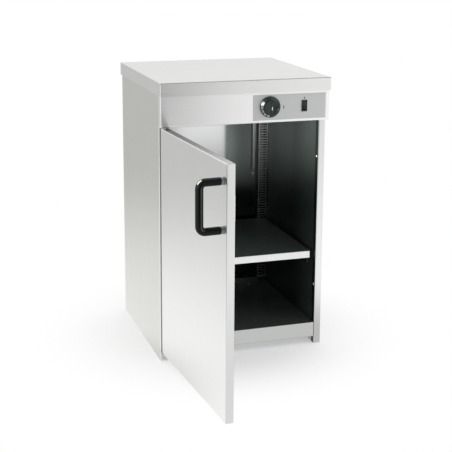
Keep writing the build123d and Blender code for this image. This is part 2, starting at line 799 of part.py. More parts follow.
# ---------------------------------------------------------------- supply side: gland, block and wiring
block_low = (block_x - block_size[0] / 2, block_front, block_z - block_size[2] / 2)
block_high = (block_x + block_size[0] / 2, back_y, block_z + block_size[2] / 2)
with BuildPart() as terminal_block:
    block(block_low, block_high)
    chamfer(edges().filter_by(Axis.X).group_by(Axis.Y)[0], 3)
finish(terminal_block.part, "terminal_block")

gland_at = [(gland_x, gland_z)]
outside = back_y + skin
with BuildPart() as cable_gland:
    discs(facing_front(outside), gland_at, gland_radius, -gland_length)
    chamfer(edges().filter_by(GeomType.CIRCLE).sort_by(Axis.Y)[-1], 3)
    discs(facing_front(outside), gland_at, gland_neck, skin + gland_nut + 1)
    bore_end = outside + gland_length + 1
    holes(facing_front(bore_end), gland_at, gland_bore, gland_length + skin + gland_nut + 3)
finish(cable_gland.part, "cable_gland")

with BuildPart() as gland_lock_nut:
    with BuildSketch(facing_front(back_y)) as hexagon:
        with Locations(*gland_at):
            RegularPolygon(gland_radius, 6, major_radius=False)
            Circle(gland_neck + running_gap, mode=Mode.SUBTRACT)
    extrude(amount=gland_nut)
finish(gland_lock_nut.part, "gland_lock_nut")

with BuildPart() as heater_wiring:
    bottom = element_z + stud_radius
    ends = [(x, tube_end + stud_length / 2) for x in (terminal_left, terminal_right)]
    discs(level(bottom), ends, wire_radius, block_low[2] - bottom)
finish(heater_wiring.part, "heater_wiring")

switch_rear = plate_y + switch_depth
with BuildPart() as control_wiring:
    to_switch = [
        (block_x + 14, block_front, block_z),
        (block_x + 14, block_front - 45, block_z),
        (switch_x - 10, -40, block_z - 12),
        (switch_x, switch_rear + 45, switch_z),
        (switch_x, switch_rear, switch_z),
    ]
    rod(to_switch, wire_radius, wire_bend)
    to_thermostat = [
        (block_x - 14, block_front, block_z),
        (block_x - 14, block_front - 45, block_z),
        (dial_x + 24, -40, block_z - 6),
        (dial_x + 12, thermostat_back + 45, dial_z + 2),
        (dial_x + 12, thermostat_back, dial_z + 2),
    ]
    rod(to_thermostat, wire_radius, wire_bend)
finish(control_wiring.part, "control_wiring")

# ---------------------------------------------------------------- door, built standing open
hinge_edge = -hinge_inset
free_edge = door_width - hinge_inset
outer_face = -hinge_depth
handle_u = free_edge - handle_inset
handle_centre = door_top - handle_drop
foot_heights = (handle_centre - handle_span / 2, handle_centre + handle_span / 2)
feet = [(handle_u, z) for z in foot_heights]
bush_radius = bush_bore + bush_wall
collar_radius = bush_radius + bush_collar

with BuildPart() as door_outer_skin:
    slab(door_level(door_bottom), (hinge_edge, outer_face), (free_edge, door_inner), door_height)
    fillet(edges().filter_by(Axis.Z), bend)
    low = (hinge_edge + skin, outer_face + skin)
    cut_slab(door_level(door_bottom + skin), low, (free_edge - skin, lip_face), door_height - 2 * skin)
    low = (hinge_edge + door_lip, door_bottom + door_lip)
    high = (free_edge - door_lip, door_top - door_lip)
    cut_slab(door_facing_out(door_inner + 1), low, high, 2 * skin + 1)
    for z in (door_bottom - 1, door_top - skin - 1):
        holes(door_level(z), [(0, 0)], bush_radius + running_gap, 2 + skin)
    holes(door_facing_out(outer_face + 2), feet, handle_screw_hole, 3)
finish(door_outer_skin.part, "door_outer_skin")

inner_margin = skin + 1.5
with BuildPart() as door_inner_skin:
    low = (hinge_edge + inner_margin, door_bottom + inner_margin)
    high = (free_edge - inner_margin, door_top - inner_margin)
    slab(door_facing_out(lip_face), low, high, lining)
    holes(door_facing_out(lip_face + 1), feet, handle_screw_hole, 3)
finish(door_inner_skin.part, "door_inner_skin")

with BuildPart() as door_insulation:
    slab(door_level(door_bottom + inner_margin), (collar_radius + 1, outer_face + skin),
         (free_edge - inner_margin, lip_face - lining), door_height - 2 * inner_margin)
    holes(door_facing_out(lip_face), feet, handle_screw_hole, door_thickness)
finish(door_insulation.part, "door_insulation")

with BuildPart() as door_bushes:
    for end, inwards in ((door_bottom, 1), (door_top, -1)):
        discs(door_level(end), [(0, 0)], collar_radius, -inwards * bush_flange)
        discs(door_level(end), [(0, 0)], bush_radius, inwards * (pin_reach + 1))
        start = door_level(end - inwards * (bush_flange + 1))
        holes(start, [(0, 0)], bush_bore, inwards * (pin_reach + bush_flange + 3))
finish(door_bushes.part, "door_bushes")

strike_u = half_carcass - flange_width / 2 - pivot_x
with BuildPart() as strike_plates:
    for z in magnet_heights:
        low = (strike_u - magnet_size[0] / 2, z - magnet_size[2] / 2)
        high = (strike_u + magnet_size[0] / 2, z + magnet_size[2] / 2)
        slab(door_facing_out(door_inner + strike_sheet), low, high, strike_sheet)
finish(strike_plates.part, "strike_plates")

ferrule_end = outer_face - ferrule_length
grip_line = outer_face - handle_reach + grip_radius
with BuildPart() as handle_grip:
    base = door_level(0)
    route = [base.from_local_coords((handle_u, v, z)) for v, z in (
        (ferrule_end, foot_heights[0]),
        (grip_line, foot_heights[0]),
        (grip_line, foot_heights[1]),
        (ferrule_end, foot_heights[1]),
    )]
    rod(route, grip_radius, grip_bend)
    holes(door_facing_out(ferrule_end + 1), feet, handle_screw_hole, 14)
finish(handle_grip.part, "handle_grip")

with BuildPart() as handle_ferrules:
    discs(door_facing_out(outer_face), feet, ferrule_radius, ferrule_length)
    holes(door_facing_out(outer_face + 1), feet, handle_screw_hole, ferrule_length + 2)
finish(handle_ferrules.part, "handle_ferrules")

with BuildPart() as handle_screws:
    discs(door_facing_out(lip_face + handle_screw_rise), feet, handle_screw_head, handle_screw_rise)
    discs(door_facing_out(lip_face), feet, handle_screw_radius, lip_face - ferrule_end + 11)
finish(handle_screws.part, "handle_screws")

# ---------------------------------------------------------------- hinges and magnets
pin_room = 1.0
with BuildPart() as top_hinge_pin:
    x_low = -fascia_width / 2 + skin + pin_room
    low = (x_low, pivot_y - hinge_depth + 2 * skin)
    high = (-ceiling_half - pin_room, flange_y - 2 * skin)
    slab(level(ceiling_z), low, high, 2.5)
    discs(level(door_top - pin_reach), [(pivot_x, pivot_y)], pin_radius, ceiling_z - door_top + pin_reach)
finish(top_hinge_pin.part, "top_hinge_pin")

with BuildPart() as bottom_hinge_bracket:
    low = (-half_carcass + skin, pivot_y - hinge_depth)
    high = (-opening_half, flange_y)
    slab(level(bracket_top - bracket_sheet), low, high, bracket_sheet)
    fillet(edges().filter_by(Axis.Z).group_by(Axis.Y)[0], 4)
    slab(facing_front(flange_y), (low[0], bracket_top - bracket_leg), (high[0], bracket_top), bracket_sheet)
    fillet(edges().filter_by(Axis.Y).group_by(Axis.Z)[0], 4)
    discs(level(bracket_top), [(pivot_x, pivot_y)], pin_radius, door_bottom + pin_reach - bracket_top)
    holes(facing_front(flange_y + 1), bracket_screws, screw_hole, bracket_sheet + 2)
finish(bottom_hinge_bracket.part, "bottom_hinge_bracket")

with BuildPart() as hinge_screws:
    pan_screws(facing_front(flange_y - bracket_sheet), bracket_screws)
finish(hinge_screws.part, "hinge_screws")

with BuildPart() as door_magnets:
    for z in magnet_heights:
        low = (liner_x + lining, flange_y + skin + lining, z - magnet_size[2] / 2)
        high = (low[0] + magnet_size[0], low[1] + magnet_size[1], z + magnet_size[2] / 2)
        block(low, high)
    chamfer(edges().filter_by(Axis.Z).group_by(Axis.X)[0].group_by(Axis.Y)[0], bend)
    holes(facing_right(liner_x), magnet_rivets_at, screw_hole, 8)
finish(door_magnets.part, "door_magnets")

with BuildPart() as magnet_rivets:
    discs(facing_right(opening_half), magnet_rivets_at, rivet_head, -1.8)
    fillet(edges().filter_by(GeomType.CIRCLE).group_by(Axis.X)[0], 1.6)
    discs(facing_right(opening_half), magnet_rivets_at, screw_shank, 7)
finish(magnet_rivets.part, "magnet_rivets")
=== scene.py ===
import json
import math

import bmesh
import bpy
import numpy as np
from mathutils import Matrix, Vector


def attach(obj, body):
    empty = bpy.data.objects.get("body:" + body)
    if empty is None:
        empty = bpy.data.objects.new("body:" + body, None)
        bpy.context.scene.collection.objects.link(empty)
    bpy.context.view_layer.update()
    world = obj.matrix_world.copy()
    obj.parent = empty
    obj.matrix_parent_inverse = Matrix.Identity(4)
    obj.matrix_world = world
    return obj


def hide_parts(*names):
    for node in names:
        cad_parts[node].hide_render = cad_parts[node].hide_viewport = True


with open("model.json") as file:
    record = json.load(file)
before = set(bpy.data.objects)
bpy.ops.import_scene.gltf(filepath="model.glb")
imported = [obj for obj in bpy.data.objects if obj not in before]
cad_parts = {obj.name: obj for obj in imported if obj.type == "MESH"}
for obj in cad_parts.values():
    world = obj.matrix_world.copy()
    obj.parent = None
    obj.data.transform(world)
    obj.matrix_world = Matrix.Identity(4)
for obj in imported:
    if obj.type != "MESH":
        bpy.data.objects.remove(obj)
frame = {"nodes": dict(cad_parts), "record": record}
scene = bpy.context.scene
nodes = frame["nodes"]
joints = {joint["name"]: joint for joint in frame["record"]["behaviour"]["joints"]}


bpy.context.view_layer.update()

# camera
view = {"place": (-0.7787, -2.4510, 0.9722), "right": (0.95126, -0.30833, 0.00595),
        "up": (0.06132, 0.20800, 0.97621), "sensor": 36.0, "lens": 86.574,
        "shiftX": -0.0046, "shiftY": -0.125}


def makeCamera():
    # its way back is its right crossed with its up, and its up is then made square to both
    camera = bpy.data.cameras.new("camera")
    camera.sensor_width = view["sensor"]
    camera.lens = view["lens"]
    camera.shift_x = view["shiftX"]
    camera.shift_y = view["shiftY"]
    sideways = Vector(view["right"]).normalized()
    wayBack = sideways.cross(Vector(view["up"])).normalized()
    turn = Matrix((sideways, wayBack.cross(sideways), wayBack)).transposed().to_4x4()
    cameraObject = bpy.data.objects.new("camera", camera)
    cameraObject.matrix_world = Matrix.Translation(view["place"]) @ turn
    scene.collection.objects.link(cameraObject)
    scene.camera = cameraObject


makeCamera()
print("camera set")

# reach of the part's nodes, in millimetres
right, backward, upward = np.eye(3)
toFront = -backward


def nodePoints(node):
    # all corners of a node's mesh
    mesh = nodes[node].data
    corners = np.empty(len(mesh.vertices) * 3, np.float32)
    mesh.vertices.foreach_get("co", corners)
    return corners.reshape(-1, 3) * 1000.0


def extent(node, origin=np.zeros(3), axes=np.eye(3)):
    # lowest and highest reach of a node along three directions from an origin
    reach = (nodePoints(node) - origin) @ np.array(axes).T
    return reach.min(0), reach.max(0)


def doorAxes():
    # the hinge's place and the door's own directions at rest: along it, out of its outer face, and up
    hinge = joints["door_hinge"]
    angle = math.radians(hinge["range_deg"][0])
    along = np.array([math.cos(angle), math.sin(angle), 0.0])
    return np.array(hinge["pos_m"]) * 1000, np.array([along, [along[1], -along[0], 0.0], upward])


# materials
noiseLow, noiseHigh = 0.3, 0.7  # most values of a noise lie between these
edgeSoft = 0.0005  # metres over which one tone turns into the next


def newMaterial(name):
    # material with its node tree and the shader in it
    material = bpy.data.materials.new(name)
    material.use_nodes = True
    return material, *shaderOf(material)


def shaderOf(material):
    # node tree of a material and its main shader
    return material.node_tree, material.node_tree.nodes["Principled BSDF"]


def addNode(tree, kind, **settings):
    # node of a kind: a setting named as an input is its value, any other a property
    node = tree.nodes.new(kind)
    for key, value in settings.items():
        if isinstance(value, (int, float, tuple)) and key in node.inputs:
            node.inputs[key].default_value = value
        else:
            setattr(node, key, value)
    return node


def combine(tree, operation, first, second=0.0):
    # one arithmetic step on sockets or numbers
    node = addNode(tree, "ShaderNodeMath", operation=operation)
    for socket, value in zip(node.inputs, (first, second)):
        if isinstance(value, (int, float)):
            socket.default_value = value
        else:
            tree.links.new(value, socket)
    return node.outputs["Value"]


def mapped(tree, value, start, end, low, high, smooth=True):
    # value turned from low at start to high at end, by a smooth step or a straight line
    node = addNode(tree, "ShaderNodeMapRange", interpolation_type="SMOOTHSTEP" if smooth else "LINEAR")
    for socket, number in (("From Min", start), ("From Max", end), ("To Min", low), ("To Max", high)):
        node.inputs[socket].default_value = number
    tree.links.new(value, node.inputs["Value"])
    return node.outputs["Result"]


def spread(tree, noise, low, high):
    # noise stretched by a straight line over a range
    return mapped(tree, noise, noiseLow, noiseHigh, low, high, smooth=False)


def grainNoise(tree, stretch, detail):
    # noise on object coordinates, squeezed along each axis by the stretch given
    mapping = addNode(tree, "ShaderNodeMapping", Scale=stretch)
    noise = addNode(tree, "ShaderNodeTexNoise", Scale=1.0, Detail=detail, Roughness=0.6)
    tree.links.new(addNode(tree, "ShaderNodeTexCoord").outputs["Object"], mapping.inputs["Vector"])
    tree.links.new(mapping.outputs["Vector"], noise.inputs["Vector"])
    return noise.outputs["Fac"]


def coordinates(tree):
    # the three object coordinates as sockets
    split = addNode(tree, "ShaderNodeSeparateXYZ")
    tree.links.new(addNode(tree, "ShaderNodeTexCoord").outputs["Object"], split.inputs["Vector"])
    return split.outputs


def facing(tree, axis):
    # the part of a face's own normal along one axis
    split = addNode(tree, "ShaderNodeSeparateXYZ")
    tree.links.new(addNode(tree, "ShaderNodeNewGeometry").outputs["True Normal"], split.inputs["Vector"])
    return split.outputs[axis]


def colourMix(tree, amount, under, over):
    # under times one minus amount, plus over times amount; under is a colour or a socket
    mix = addNode(tree, "ShaderNodeMix", data_type="RGBA")
    colours = {socket.name: socket for socket in mix.inputs if socket.type == "RGBA"}
    if isinstance(under, tuple):
        colours["A"].default_value = (*under, 1)
    else:
        tree.links.new(under, colours["A"])
    colours["B"].default_value = (*over, 1)
    tree.links.new(amount, mix.inputs["Factor"])
    return next(socket for socket in mix.outputs if socket.type == "RGBA")


def mixOver(material, amount, colour):
    # lays a colour over the material's own, by an amount
    tree, shader = shaderOf(material)
    base = shader.inputs["Base Color"]
    tree.links.new(colourMix(tree, amount, base.links[0].from_socket, colour), base)


def grained(tree, shader, noise, clouds, look, dark, depth):
    # clouds between a darker tone and the colour; noise in roughness and as bumps of a depth
    darker = tuple(part * dark for part in look["colour"])
    tone = colourMix(tree, spread(tree, clouds, 0, 1), darker, look["colour"])
    tree.links.new(tone, shader.inputs["Base Color"])
    tree.links.new(spread(tree, noise, look["smooth"], look["rough"]), shader.inputs["Roughness"])
    bump = addNode(tree, "ShaderNodeBump", Strength=look["bump"], Distance=depth)
    tree.links.new(noise, bump.inputs["Height"])
    tree.links.new(bump.outputs["Normal"], shader.inputs["Normal"])


def sheetMetal(name, look):
    # brushed sheet: fine lines along one way in roughness and bump, slow clouds in colour
    material, tree, shader = newMaterial(name)
    lines = grainNoise(tree, look["lines"], detail=4.0)
    clouds = grainNoise(tree, (3.0,) * 3, detail=2.0)
    grained(tree, shader, lines, clouds, look, dark=1 - look["clouds"], depth=0.0002)
    shader.inputs["Metallic"].default_value = 1.0
    if "brushed" in look:  # reflections stretch across the brushing: surface normal times brushing direction
        across = addNode(tree, "ShaderNodeVectorMath", operation="CROSS_PRODUCT")
        across.inputs[1].default_value = look["brushed"]
        tree.links.new(addNode(tree, "ShaderNodeNewGeometry").outputs["Normal"], across.inputs[0])
        tree.links.new(across.outputs["Vector"], shader.inputs["Tangent"])
        shader.inputs["Anisotropic"].default_value = look["stretch"]
    return material


def moulding(name, look):
    # moulded plastic: slight orange peel in the bump and uneven gloss
    material, tree, shader = newMaterial(name)
    peel = grainNoise(tree, (look["grain"],) * 3, detail=3.0)
    grained(tree, shader, peel, peel, look, dark=0.8, depth=0.0003)
    shader.inputs["Specular IOR Level"].default_value = look.get("shine", 0.5)
    return material


def paintShadeOnFlats(material, look):
    # painted shade on level faces, uneven by a noise, and more roughness there: amount is the normal's
    # upright part times a noise up to one
    tree, shader = shaderOf(material)
    level = combine(tree, "ABSOLUTE", facing(tree, "Z"))
    shadeNoise = spread(tree, grainNoise(tree, (look["grain"],) * 3, detail=6.0), look["leastShade"], 1.0)
    amount = combine(tree, "MULTIPLY", level, shadeNoise)
    mixOver(material, amount, look["flat"])
    gloss = shader.inputs["Roughness"]
    rougher = combine(tree, "MULTIPLY", amount, look["rougher"])
    tree.links.new(combine(tree, "ADD", gloss.links[0].from_socket, rougher), gloss)


def paintChannelLightAndShade(material, look):
    # painted highlight on a channel's outer bends: amount is one past a distance from the middle; painted
    # shade on its cut edges and insides: amount is one less a share of the normal's part towards the front
    tree = material.node_tree
    outer = combine(tree, "ABSOLUTE", coordinates(tree)["X"])
    mixOver(material, mapped(tree, outer, *look["bend"], 0.0, 1.0), look["light"])
    side = addNode(tree, "ShaderNodeMath", operation="MULTIPLY_ADD", use_clamp=True)
    side.inputs[1].default_value, side.inputs[2].default_value = look["turned"], 1.0
    tree.links.new(facing(tree, "Y"), side.inputs[0])
    mixOver(material, side.outputs["Value"], look["side"])


def paintShadingAlong(material, axis, look):
    # painted light and shade laid over towards one end, a lighter or darker tone by how light falls there:
    # amount rises from nothing to one between two places on an axis
    tree = material.node_tree
    mixOver(material, mapped(tree, coordinates(tree)[axis], look["from"], look["to"], 0.0, 1.0), look["paintedShading"])


def paintShadeOnDoorTop(material, look):
    # painted shade on the door's upper fold, darker towards the hinge: the normal's upward part times a fall
    # along the door
    tree = material.node_tree
    fall = mapped(tree, coordinates(tree)["Y"], look["far"], look["near"], look["least"], 1.0)
    amount = combine(tree, "MULTIPLY", combine(tree, "MAXIMUM", facing(tree, "Z")), fall)
    mixOver(material, amount, look["shadeTone"])


def paintShadeOnHem(material, look):
    # painted shade on the hem inside the opening: amount is one where it is far enough in and back; its foot
    # and the skin's faces that look inwards get darker painted shade still: one below a height, and by the
    # normal's part inwards
    tree = material.node_tree
    where = coordinates(tree)
    reach = combine(tree, "ABSOLUTE", where["X"])
    inside = mapped(tree, reach, look["inside"], look["inside"] - edgeSoft, 0.0, 1.0)
    behind = mapped(tree, where["Y"], look["behind"], look["behind"] + edgeSoft, 0.0, 1.0)
    hem = combine(tree, "MULTIPLY", inside, behind)
    mixOver(material, hem, look["shadeTone"])
    low = mapped(tree, where["Z"], look["foot"], look["foot"] - 2 * edgeSoft, 0.0, 1.0)
    mixOver(material, combine(tree, "MULTIPLY", hem, low), look["inner"])
    inwards = mapped(tree, facing(tree, "X"), *look["turned"], 0.0, 1.0)
    skin = mapped(tree, reach, look["skin"], look["skin"] + edgeSoft, 0.0, 1.0)
    mixOver(material, combine(tree, "MULTIPLY", inwards, skin), look["inner"])


alongX, alongZ = (3.0, 1100.0, 1100.0), (1100.0, 1100.0, 3.0)
outerSheet = {"smooth": 0.27, "rough": 0.33, "bump": 0.008, "clouds": 0.03}
levelSheet = {**outerSheet, "lines": alongX, "brushed": (1.0, 0.0, 0.05), "stretch": 0.75}
uprightSheet = {**outerSheet, "lines": alongZ, "brushed": (0.0, 0.05, 1.0), "stretch": 0.6}
roundEdge = {"smooth": 0.40, "rough": 0.50, "bump": 0.004, "clouds": 0.02}
bareMetal = {"lines": (200.0,) * 3, "smooth": 0.2, "rough": 0.4, "bump": 0.05, "clouds": 0.15}
metals = {
    # the outer sheets are one steel: their colours differ from part to part as painted light and shade,
    # lightest on the front and darkest on the left side
    "coverSteel": {**levelSheet, "colour": (0.76, 0.765, 0.745)},
    "frontSteel": {**levelSheet, "colour": (0.865, 0.87, 0.86)},
    "sideSteel": {**uprightSheet, "colour": (0.67, 0.675, 0.64)},
    "doorSteel": {**uprightSheet, "colour": (0.755, 0.76, 0.735)},
    "flangeSteel": {**uprightSheet, "colour": (0.80, 0.805, 0.79)},
    # lighter steels that paint highlights on the door's and side's folds, and a darker one that paints shade
    # on the cover's fold
    "edgeSteel": {**roundEdge, "colour": (0.87, 0.87, 0.86), "lines": alongZ},
    "bendSteel": {**roundEdge, "colour": (0.98, 0.98, 0.97), "lines": (300.0,) * 3},
    "shadeSteel": {"colour": (0.42, 0.43, 0.42), "lines": alongX, "smooth": 0.30, "rough": 0.40,
                   "bump": 0.004, "clouds": 0.02},
    "guardSteel": {"colour": (0.16, 0.18, 0.175), "lines": alongX, "smooth": 0.28, "rough": 0.40,
                   "bump": 0.02, "clouds": 0.12},
    "rivetSteel": {"colour": (0.95, 0.95, 0.94), "lines": (300.0,) * 3, "smooth": 0.30, "rough": 0.45,
                   "bump": 0.01, "clouds": 0.03},
    "backSteel": {"colour": (0.68, 0.69, 0.685), "lines": alongZ, "smooth": 0.06, "rough": 0.11,
                  "bump": 0.01, "clouds": 0.05},
    # the liners' dark colour is painted shade: the same steel as the back liner, darker inside the cabinet
    "paintedShadeLiners": {"colour": (0.18, 0.207, 0.20), "lines": alongZ, "smooth": 0.34, "rough": 0.44,
                   "bump": 0.004, "clouds": 0.08},
    "shelfSteel": {"colour": (0.74, 0.75, 0.735), "lines": alongX, "smooth": 0.14, "rough": 0.24,
                   "bump": 0.01, "clouds": 0.05},
    "uprightSteel": {"colour": (0.33, 0.345, 0.34), "lines": alongZ, "smooth": 0.42, "rough": 0.52,
                     "bump": 0.02, "clouds": 0.05},
    "zincSheet": {"colour": (0.56, 0.58, 0.60), "lines": (40.0,) * 3, "smooth": 0.35, "rough": 0.6,
                  "bump": 0.1, "clouds": 0.15},
    "zincParts": {"colour": (0.66, 0.66, 0.63), "lines": (300.0,) * 3, "smooth": 0.2, "rough": 0.35,
                  "bump": 0.1, "clouds": 0.1},
    "controlPlate": {"colour": (0.615, 0.62, 0.62), "lines": alongX, "smooth": 0.45, "rough": 0.55,
                     "bump": 0.02, "clouds": 0.02},
    "ferruleChrome": {"colour": (0.24, 0.26, 0.262), "lines": (200.0,) * 3, "smooth": 0.40, "rough": 0.50,
                      "bump": 0.02, "clouds": 0.05},
    "elementSheath": {"colour": (0.30, 0.31, 0.30), "lines": (90.0,) * 3, "smooth": 0.3, "rough": 0.55,
                      "bump": 0.1, "clouds": 0.3},
    "bareBrass": {**bareMetal, "colour": (0.72, 0.55, 0.26)},
    "bareCopper": {**bareMetal, "colour": (0.75, 0.42, 0.28)},
}
printed = {"grain": 900.0, "smooth": 0.45, "rough": 0.6, "bump": 0.05}
plainPlastic = {"grain": 400.0, "smooth": 0.35, "rough": 0.5, "bump": 0.1}
plastics = {
    "handleBlack": {"colour": (0.0025, 0.004, 0.0036), "grain": 220.0, "smooth": 0.07, "rough": 0.11,
                    "bump": 0.005, "shine": 0.12},
    "knobBlack": {"colour": (0.009, 0.014, 0.0135), "grain": 500.0, "smooth": 0.14, "rough": 0.24,
                  "bump": 0.03, "shine": 0.27},
    "switchBlack": {"colour": (0.010, 0.018, 0.015), "grain": 500.0, "smooth": 0.15, "rough": 0.28,
                    "bump": 0.04, "shine": 0.34},
    "blackMoulding": {"colour": (0.03, 0.03, 0.03), "grain": 600.0, "smooth": 0.4, "rough": 0.6, "bump": 0.2},
    "whitePrint": {**printed, "colour": (0.86, 0.86, 0.84)},
    "darkPrint": {**printed, "colour": (0.02, 0.02, 0.02)},
    "whiteNylon": {**plainPlastic, "colour": (0.80, 0.79, 0.75)},
    "magnetCase": {**plainPlastic, "colour": (0.08, 0.08, 0.08)},
    "siliconeLead": {"colour": (0.70, 0.68, 0.62), "grain": 300.0, "smooth": 0.45, "rough": 0.6, "bump": 0.1},
    "mineralWool": {"colour": (0.62, 0.54, 0.30), "grain": 160.0, "smooth": 0.85, "rough": 1.0, "bump": 1.0},
}
finishes = {name: sheetMetal(name, look) for name, look in metals.items()}
finishes.update({name: moulding(name, look) for name, look in plastics.items()})
# painted light and shade that change with place, in metres, some of them from the reach of a sheet
panelLow, panelHigh = [corner / 1000 for corner in extent("right_side_panel")]
deckUnderside = extent("bottom_deck")[0][2] / 1000
uprightSide = extent("right_upright")[1][0] / 1000
# painted light: the door's outer skin lighter towards the bottom
paintShadingAlong(finishes["doorSteel"], "Z", {"paintedShading": (0.80, 0.805, 0.79), "from": 0.38, "to": 0.12})
# painted shade: the door's upper fold darker towards the hinge
paintShadeOnDoorTop(finishes["doorSteel"], {"shadeTone": (0.16, 0.16, 0.15), "near": -0.20, "far": -0.60, "least": 0.2})
# painted shade: the right side panel darker towards its foot
paintShadingAlong(finishes["flangeSteel"], "Z", {"paintedShading": (0.70, 0.705, 0.69), "from": 0.20, "to": 0.03})
# painted shade: the right panel's hem inside the opening, its foot and its inward faces darker
paintShadeOnHem(finishes["flangeSteel"], {"shadeTone": (0.10, 0.11, 0.105), "inner": (0.02, 0.022, 0.021),
                                  "inside": panelLow[0] + 0.0035, "behind": panelLow[1] + 0.0011,
                                  "skin": panelHigh[0] - 0.0075, "foot": deckUnderside + 0.0006,
                                  "turned": (-0.4, -0.8)})
# painted shade: the back liner darker towards the bottom, nearly black low down
paintShadingAlong(finishes["backSteel"], "Z", {"paintedShading": (0.05, 0.06, 0.055), "from": 0.486, "to": 0.285})
# painted light: the liners lighter towards the opening
paintShadingAlong(finishes["paintedShadeLiners"], "Y", {"paintedShading": (0.41, 0.48, 0.462), "from": -0.02, "to": -0.16})
# painted shade: the shelf's and the deck's level faces darker, unevenly
paintShadeOnFlats(finishes["shelfSteel"], {"flat": (0.29, 0.34, 0.315), "grain": 14.0, "leastShade": 0.8, "rougher": 0.30})
# painted highlight on the uprights' outer bends, painted shade on their cut edges and in their slots
paintChannelLightAndShade(finishes["uprightSteel"], {"side": (0.02, 0.022, 0.022), "turned": 1.4, "light": (0.92, 0.92, 0.91),
                                     "bend": (uprightSide - 0.0023, uprightSide - 0.0021)})
# painted shade: the uprights darker towards the bottom
paintShadingAlong(finishes["uprightSteel"], "Z", {"paintedShading": (0.06, 0.064, 0.063), "from": 0.50, "to": 0.30})
# what each node is made of
dressing = {
    "coverSteel": ["top_cover"],
    "frontSteel": ["fascia"],
    "sideSteel": ["left_side_panel", "door_inner_skin"],
    "flangeSteel": ["right_side_panel"],
    "doorSteel": ["door_outer_skin"],
    "backSteel": ["back_liner"],
    "paintedShadeLiners": ["left_liner", "right_liner", "ceiling_liner"],
    "uprightSteel": ["left_upright", "right_upright", "left_bracket", "right_bracket", "sensor_guard"],
    "shelfSteel": ["shelf", "bottom_deck"],
    "guardSteel": ["heater_guard"],
    "rivetSteel": ["magnet_rivets"],
    "zincSheet": ["back_panel", "base_plate"],
    "zincParts": ["top_hinge_pin", "bottom_hinge_bracket", "hinge_screws", "strike_plates", "handle_screws",
                  "back_panel_screws", "guard_screws", "sensor_screw", "heater_clips",
                  "thermostat_shaft"],
    "controlPlate": ["control_plate"],
    "ferruleChrome": ["handle_ferrules"],
    "elementSheath": ["heating_element"],
    "bareBrass": ["heater_terminals"],
    "bareCopper": ["sensor_bulb", "capillary_tube"],
    "handleBlack": ["handle_grip"],
    "knobBlack": ["knob_dial", "knob_cap"],
    "switchBlack": ["switch_housing", "switch_rocker"],
    "blackMoulding": ["cable_gland", "gland_lock_nut", "thermostat_body"],
    "whiteNylon": ["door_bushes", "terminal_block"],
    "magnetCase": ["door_magnets"],
    "siliconeLead": ["heater_wiring", "control_wiring"],
    "mineralWool": ["insulation_left", "insulation_right", "insulation_back", "insulation_top",
                    "insulation_bottom", "door_insulation"],
}
for finish, names in dressing.items():
    for name in names:
        mesh = nodes[name].data
        if not mesh.materials:
            mesh.materials.append(None)
        for index in range(len(mesh.materials)):
            mesh.materials[index] = finishes[finish]
print("materials set")

# shapes, in millimetres
smoothness = {"cornerSteps": 5, "cornerShare": 0.45, "quarterSteps": 8, "barFlat": 0.02, "sharpAngle": 35.0}
mergeDistance = 1e-6  # metres
speck = (1e-4, 1e-4, 5e-5)  # rounded rectangle so small that its points merge


def gridFaces(rows, columns):
    # quads between neighbours of a grid, whose last column joins its first
    here = np.arange(rows * columns).reshape(rows, columns)
    beside = np.roll(here, -1, 1)
    return np.stack([here[:-1], here[1:], beside[1:], beside[:-1]], -1).reshape(-1, 4)


def cleanMesh(mesh, work):
    # merges the points that meet and turns all faces outwards
    bmesh.ops.remove_doubles(work, verts=work.verts, dist=mergeDistance)
    bmesh.ops.recalc_face_normals(work, faces=work.faces)
    work.to_mesh(mesh)
    work.free()


def addPiece(name, mesh, finish, body, slotName, hides=()):
    # object at the origin in its finish; it rides on a body and stands for the nodes that it hides
    mesh.materials.append(finishes[finish])
    piece = bpy.data.objects.new(name, mesh)
    scene.collection.objects.link(piece)
    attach(piece, body)
    if hides:
        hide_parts(*hides)


def makePiece(name, grids, *settings):
    # one piece from several grids of points, whose ends are closed by rows of one point
    faces, points, count = [], [], 0
    for grid in grids:
        faces.append(gridFaces(*grid.shape[:2]) + count)
        points.append(grid.reshape(-1, 3) / 1000)
        count += len(points[-1])
    mesh = bpy.data.meshes.new(name)
    mesh.from_pydata(np.vstack(points).tolist(), [], np.vstack(faces).tolist())
    work = bmesh.new()
    work.from_mesh(mesh)
    cleanMesh(mesh, work)
    mesh.shade_smooth()
    mesh.set_sharp_from_angle(angle=math.radians(smoothness["sharpAngle"]))
    addPiece(name, mesh, *settings)


def laidOut(centre, across, up, out, a, b, c):
    # point grid: centre plus a along across, b along up and c along out
    return centre + a[..., None] * across + b[..., None] * up + c[..., None] * out


def squareTo(way):
    # a direction square to another: crossed with upward, or with backward where it is upright itself
    return np.cross(way, backward if abs(way @ upward) > 0.9 else upward)


def spun(profile, turns, centre, across, up, out):
    # profile of (radius, height) rows turned about the out axis
    angle = np.linspace(0, 2 * np.pi, turns, endpoint=False)
    radius, height = [np.repeat(column[:, None], turns, 1) for column in np.array(profile, float).T]
    return laidOut(centre, across, up, out, radius * np.cos(angle), radius * np.sin(angle), height)


def rounded(profile, radius):
    # rounds each inner corner of a profile: a quadratic curve from one side of the corner to the other
    profile = np.array(profile, float)
    before, corner, after = profile[:-2], profile[1:-1], profile[2:]
    back, on = before - corner, after - corner
    backLength, onLength = [np.linalg.norm(way, axis=1, keepdims=True) for way in (back, on)]
    cut = np.minimum(radius, smoothness["cornerShare"] * np.minimum(backLength, onLength))
    start, end = corner + back / backLength * cut, corner + on / onLength * cut
    t = np.linspace(0, 1, smoothness["cornerSteps"])[:, None, None]
    curve = (1 - t) ** 2 * start + 2 * t * (1 - t) * corner + t ** 2 * end
    return np.vstack([profile[:1], curve.transpose(1, 0, 2).reshape(-1, 2), profile[-1:]])


